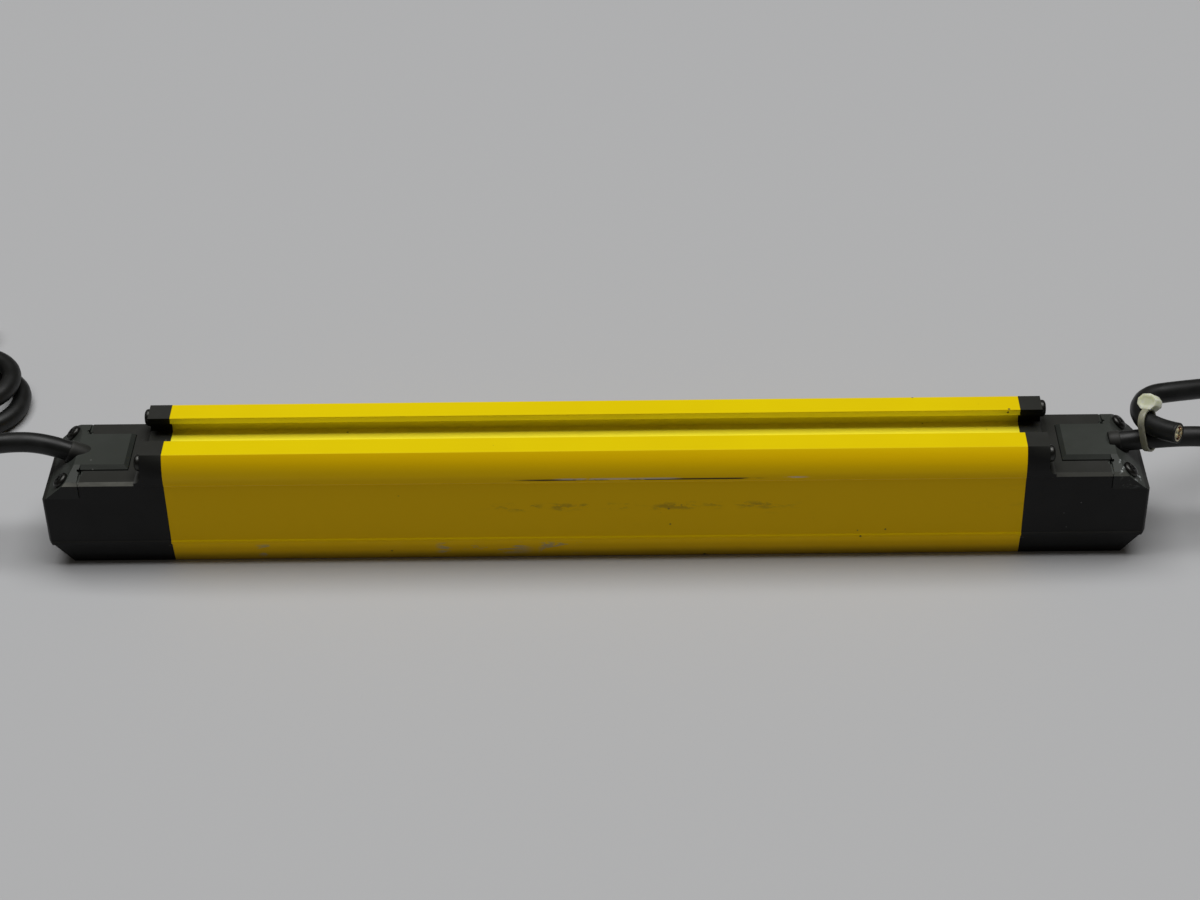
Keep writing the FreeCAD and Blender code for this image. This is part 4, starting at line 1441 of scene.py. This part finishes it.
@dataclass
class Cables:
    """The two cables, with what is on them. Their points are in millimetres."""

    left_length: float = 0.95
    right_length: float = 0.33
    left_lead: Sequence[Point] = (
        (-151.33, 0.0, 30.28), (-159.2, 0.0, 34.13), (-171.0, -0.5, 35.3), (-187.0, -1.8, 32.6),
        (-205.0, -2.6, 24.0), (-223.0, -3.2, 13.0), (-243.0, -3.6, 5.0), (-266.0, -1.5, 3.0),
        (-283.0, 9.0, 3.0), (-291.0, 28.0, 3.0), (-291.0, 48.0, 3.0), (-289.0, 62.0, 3.0),
    )
    left_tail: Sequence[Point] = (
        (-281.0, 79.5, 14.6), (-270.0, 84.5, 13.0), (-258.0, 91.0, 9.4), (-247.0, 95.5, 7.3),
        (-237.0, 97.5, 7.3),
    )
    right_route: Sequence[Point] = (
        (151.2, 0.0, 30.65), (160.0, 0.0, 31.73), (175.0, 0.4, 32.4), (193.0, 1.2, 29.6), (212.0, 1.0, 19.0),
        (232.0, 0.4, 8.0), (252.0, 1.5, 3.1), (270.0, 14.0, 3.0), (276.5, 35.0, 3.0), (269.5, 55.0, 3.0),
        (251.0, 66.0, 4.0), (230.0, 63.5, 9.5), (213.0, 50.0, 20.0), (198.0, 33.0, 25.2), (186.0, 22.0, 34.2),
        (171.0, 17.0, 36.3), (162.2, 14.6, 36.7), (158.2, 6.9, 36.7), (160.8, -2.0, 37.1),
        (167.4, -7.0, 38.72),
    )

    def build(self) -> None:
        """Make both cables with their ties, plug and cut end."""
        plug = RoundPlug().build()
        left_tie = hank_tie().build()
        right_tie = stub_tie().build()
        cut_end = CutEnd().build()
        CordRun(
            name="cable_left_line",
            length=self.left_length,
            route=[*self.left_lead, *HankTurns().points(), *self.left_tail],
            far_end="plug",
            lay="coiled",
            replaced=("cable_left", "cable_left_hank", "cable_left_tail"),
            carried=[*plug, *left_tie],
        ).build()
        CordRun(
            name="cable_right_line",
            length=self.right_length,
            route=self.right_route,
            far_end="bare",
            lay="loose",
            replaced=("cable_right",),
            carried=[*cut_end, *right_tie],
        ).build()


# ---------------------------------------------------------------- dressed CAD nodes


@dataclass
class DressedNodes:
    """The CAD nodes that show as they are, each with the finish of its slot."""

    rounded: Sequence[tuple[str, float]] = (
        ("housing_extrusion", 0.25),
        ("end_cap_left", 0.35),
        ("end_cap_right", 0.35),
        ("connector_block_left", 0.5),
        ("connector_block_right", 0.5),
    )

    def build(self) -> None:
        """Give every shown node its material."""
        slots = {part["node"]: Slot(part["material_slot"]) for part in frame["record"]["subparts"]}
        for name, slot in slots.items():
            paint(node(name), BLOCK_FINISH if name.startswith("connector_block") else FINISHES[slot])
        for name, width in self.rounded:
            self.round_edges(node(name), width * MM)
        LOG.info("dressed nodes: %d", len(slots))

    def round_edges(self, piece: Piece, width: float) -> None:
        """Take the sharp edges off a node with modifiers.

        Args:
            piece: CAD node.
            width: width of the rounding.
        """
        weld = piece.modifiers.new("weld", "WELD")
        weld.merge_threshold = 1e-6
        planar = piece.modifiers.new("planar", "DECIMATE")
        planar.decimate_type = "DISSOLVE"
        planar.angle_limit = math.radians(0.2)
        edge = piece.modifiers.new("edge", "BEVEL")
        edge.width = width
        edge.segments = 2
        edge.limit_method = "ANGLE"
        edge.angle_limit = math.radians(24.0)
        edge.harden_normals = True


# ---------------------------------------------------------------- stage


@dataclass
class Stage:
    """Floor, lamp, world and camera."""

    floor_half: float = 9.0
    floor_colour: Colour = (0.47, 0.475, 0.485)
    lamp_place: Point = (0.05, 0.42, 3.38)
    lamp_size: tuple[float, float] = (3.75, 2.2)
    lamp_power: float = 123.0
    world_colour: Colour = (1.0, 0.92, 0.80)
    world_strength: float = 0.06
    horizon_colour: Colour = (0.34, 0.34, 0.345)
    camera_place: Point = (14.36, -617.01, 490.33)
    camera_forward: Point = (-0.01642801, 0.80113924, -0.59825249)
    camera_up: Point = (0.01026109, 0.59843681, 0.8011043)
    lens: float = 79.255
    sensor: float = 36.0
    clip: tuple[float, float] = (0.01, 30.0)

    def build(self) -> None:
        """Set up the floor, the lamp, the world and the camera."""
        self.floor()
        self.lamp()
        self.world()
        self.camera()
        bpy.context.scene.view_settings.view_transform = "Standard"
        LOG.info("stage: floor, lamp, world and camera")

    def floor(self) -> None:
        """Lay the pale floor."""
        bpy.ops.mesh.primitive_plane_add(size=2 * self.floor_half, location=(0.0, 0.0, 0.0))
        floor = bpy.context.active_object
        floor.name = "floor"
        recipe = Recipe("floor_grey")
        recipe.set(Base_Color=self.floor_colour, Roughness=0.62, Specular_IOR_Level=0.3)
        floor.data.materials.append(recipe.material)

    def lamp(self) -> None:
        """Hang the soft lamp, pointed at the origin."""
        data = bpy.data.lights.new("top_lamp", "AREA")
        data.shape = "RECTANGLE"
        data.size, data.size_y = self.lamp_size
        data.energy = self.lamp_power
        lamp = bpy.data.objects.new("top_lamp", data)
        bpy.context.collection.objects.link(lamp)
        lamp.location = self.lamp_place
        lamp.rotation_euler = (-Vector(self.lamp_place)).to_track_quat("-Z", "Y").to_euler()

    def world(self) -> None:
        """Light the surroundings with an even warm grey, and show the camera the floor's own tone past its edge."""
        world = bpy.data.worlds.new("soft_world")
        world.use_nodes = True
        tree = world.node_tree
        lighting = next(n for n in tree.nodes if n.type == "BACKGROUND")
        output = next(n for n in tree.nodes if n.type == "OUTPUT_WORLD")
        lighting.inputs["Color"].default_value = (*self.world_colour, 1.0)
        lighting.inputs["Strength"].default_value = self.world_strength
        horizon = tree.nodes.new("ShaderNodeBackground")
        horizon.inputs["Color"].default_value = (*self.horizon_colour, 1.0)
        path = tree.nodes.new("ShaderNodeLightPath")
        mix = tree.nodes.new("ShaderNodeMixShader")
        sources = path.outputs["Is Camera Ray"], lighting.outputs[0], horizon.outputs[0]
        for source, socket in zip((*sources, mix.outputs[0]), (*mix.inputs, output.inputs["Surface"])):
            tree.links.new(source, socket)
        bpy.context.scene.world = world

    def camera(self) -> None:
        """Place the camera in front of and above the bar."""
        forward = Vector(self.camera_forward).normalized()
        up = Vector(self.camera_up).normalized()
        right = forward.cross(up).normalized()
        turn = Matrix((right, up, -forward)).transposed().to_4x4()
        data = bpy.data.cameras.new("camera")
        data.lens = self.lens
        data.sensor_width = self.sensor
        data.clip_start, data.clip_end = self.clip
        camera = bpy.data.objects.new("camera", data)
        bpy.context.collection.objects.link(camera)
        camera.matrix_world = Matrix.Translation(mm(*self.camera_place)) @ turn
        bpy.context.scene.camera = camera


# ---------------------------------------------------------------- sizes and main


def main() -> None:
    """Build every sub-assembly in order."""
    logging.basicConfig(level=logging.INFO, format="%(name)s: %(message)s")
    bpy.ops.object.select_all(action="DESELECT")
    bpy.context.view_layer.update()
    Stage().build()
    DressedNodes().build()
    Cables().build()
    Screws().build()
    CableBoots().build()
    GapFillers().build()


if __name__ == "__main__":
    main()
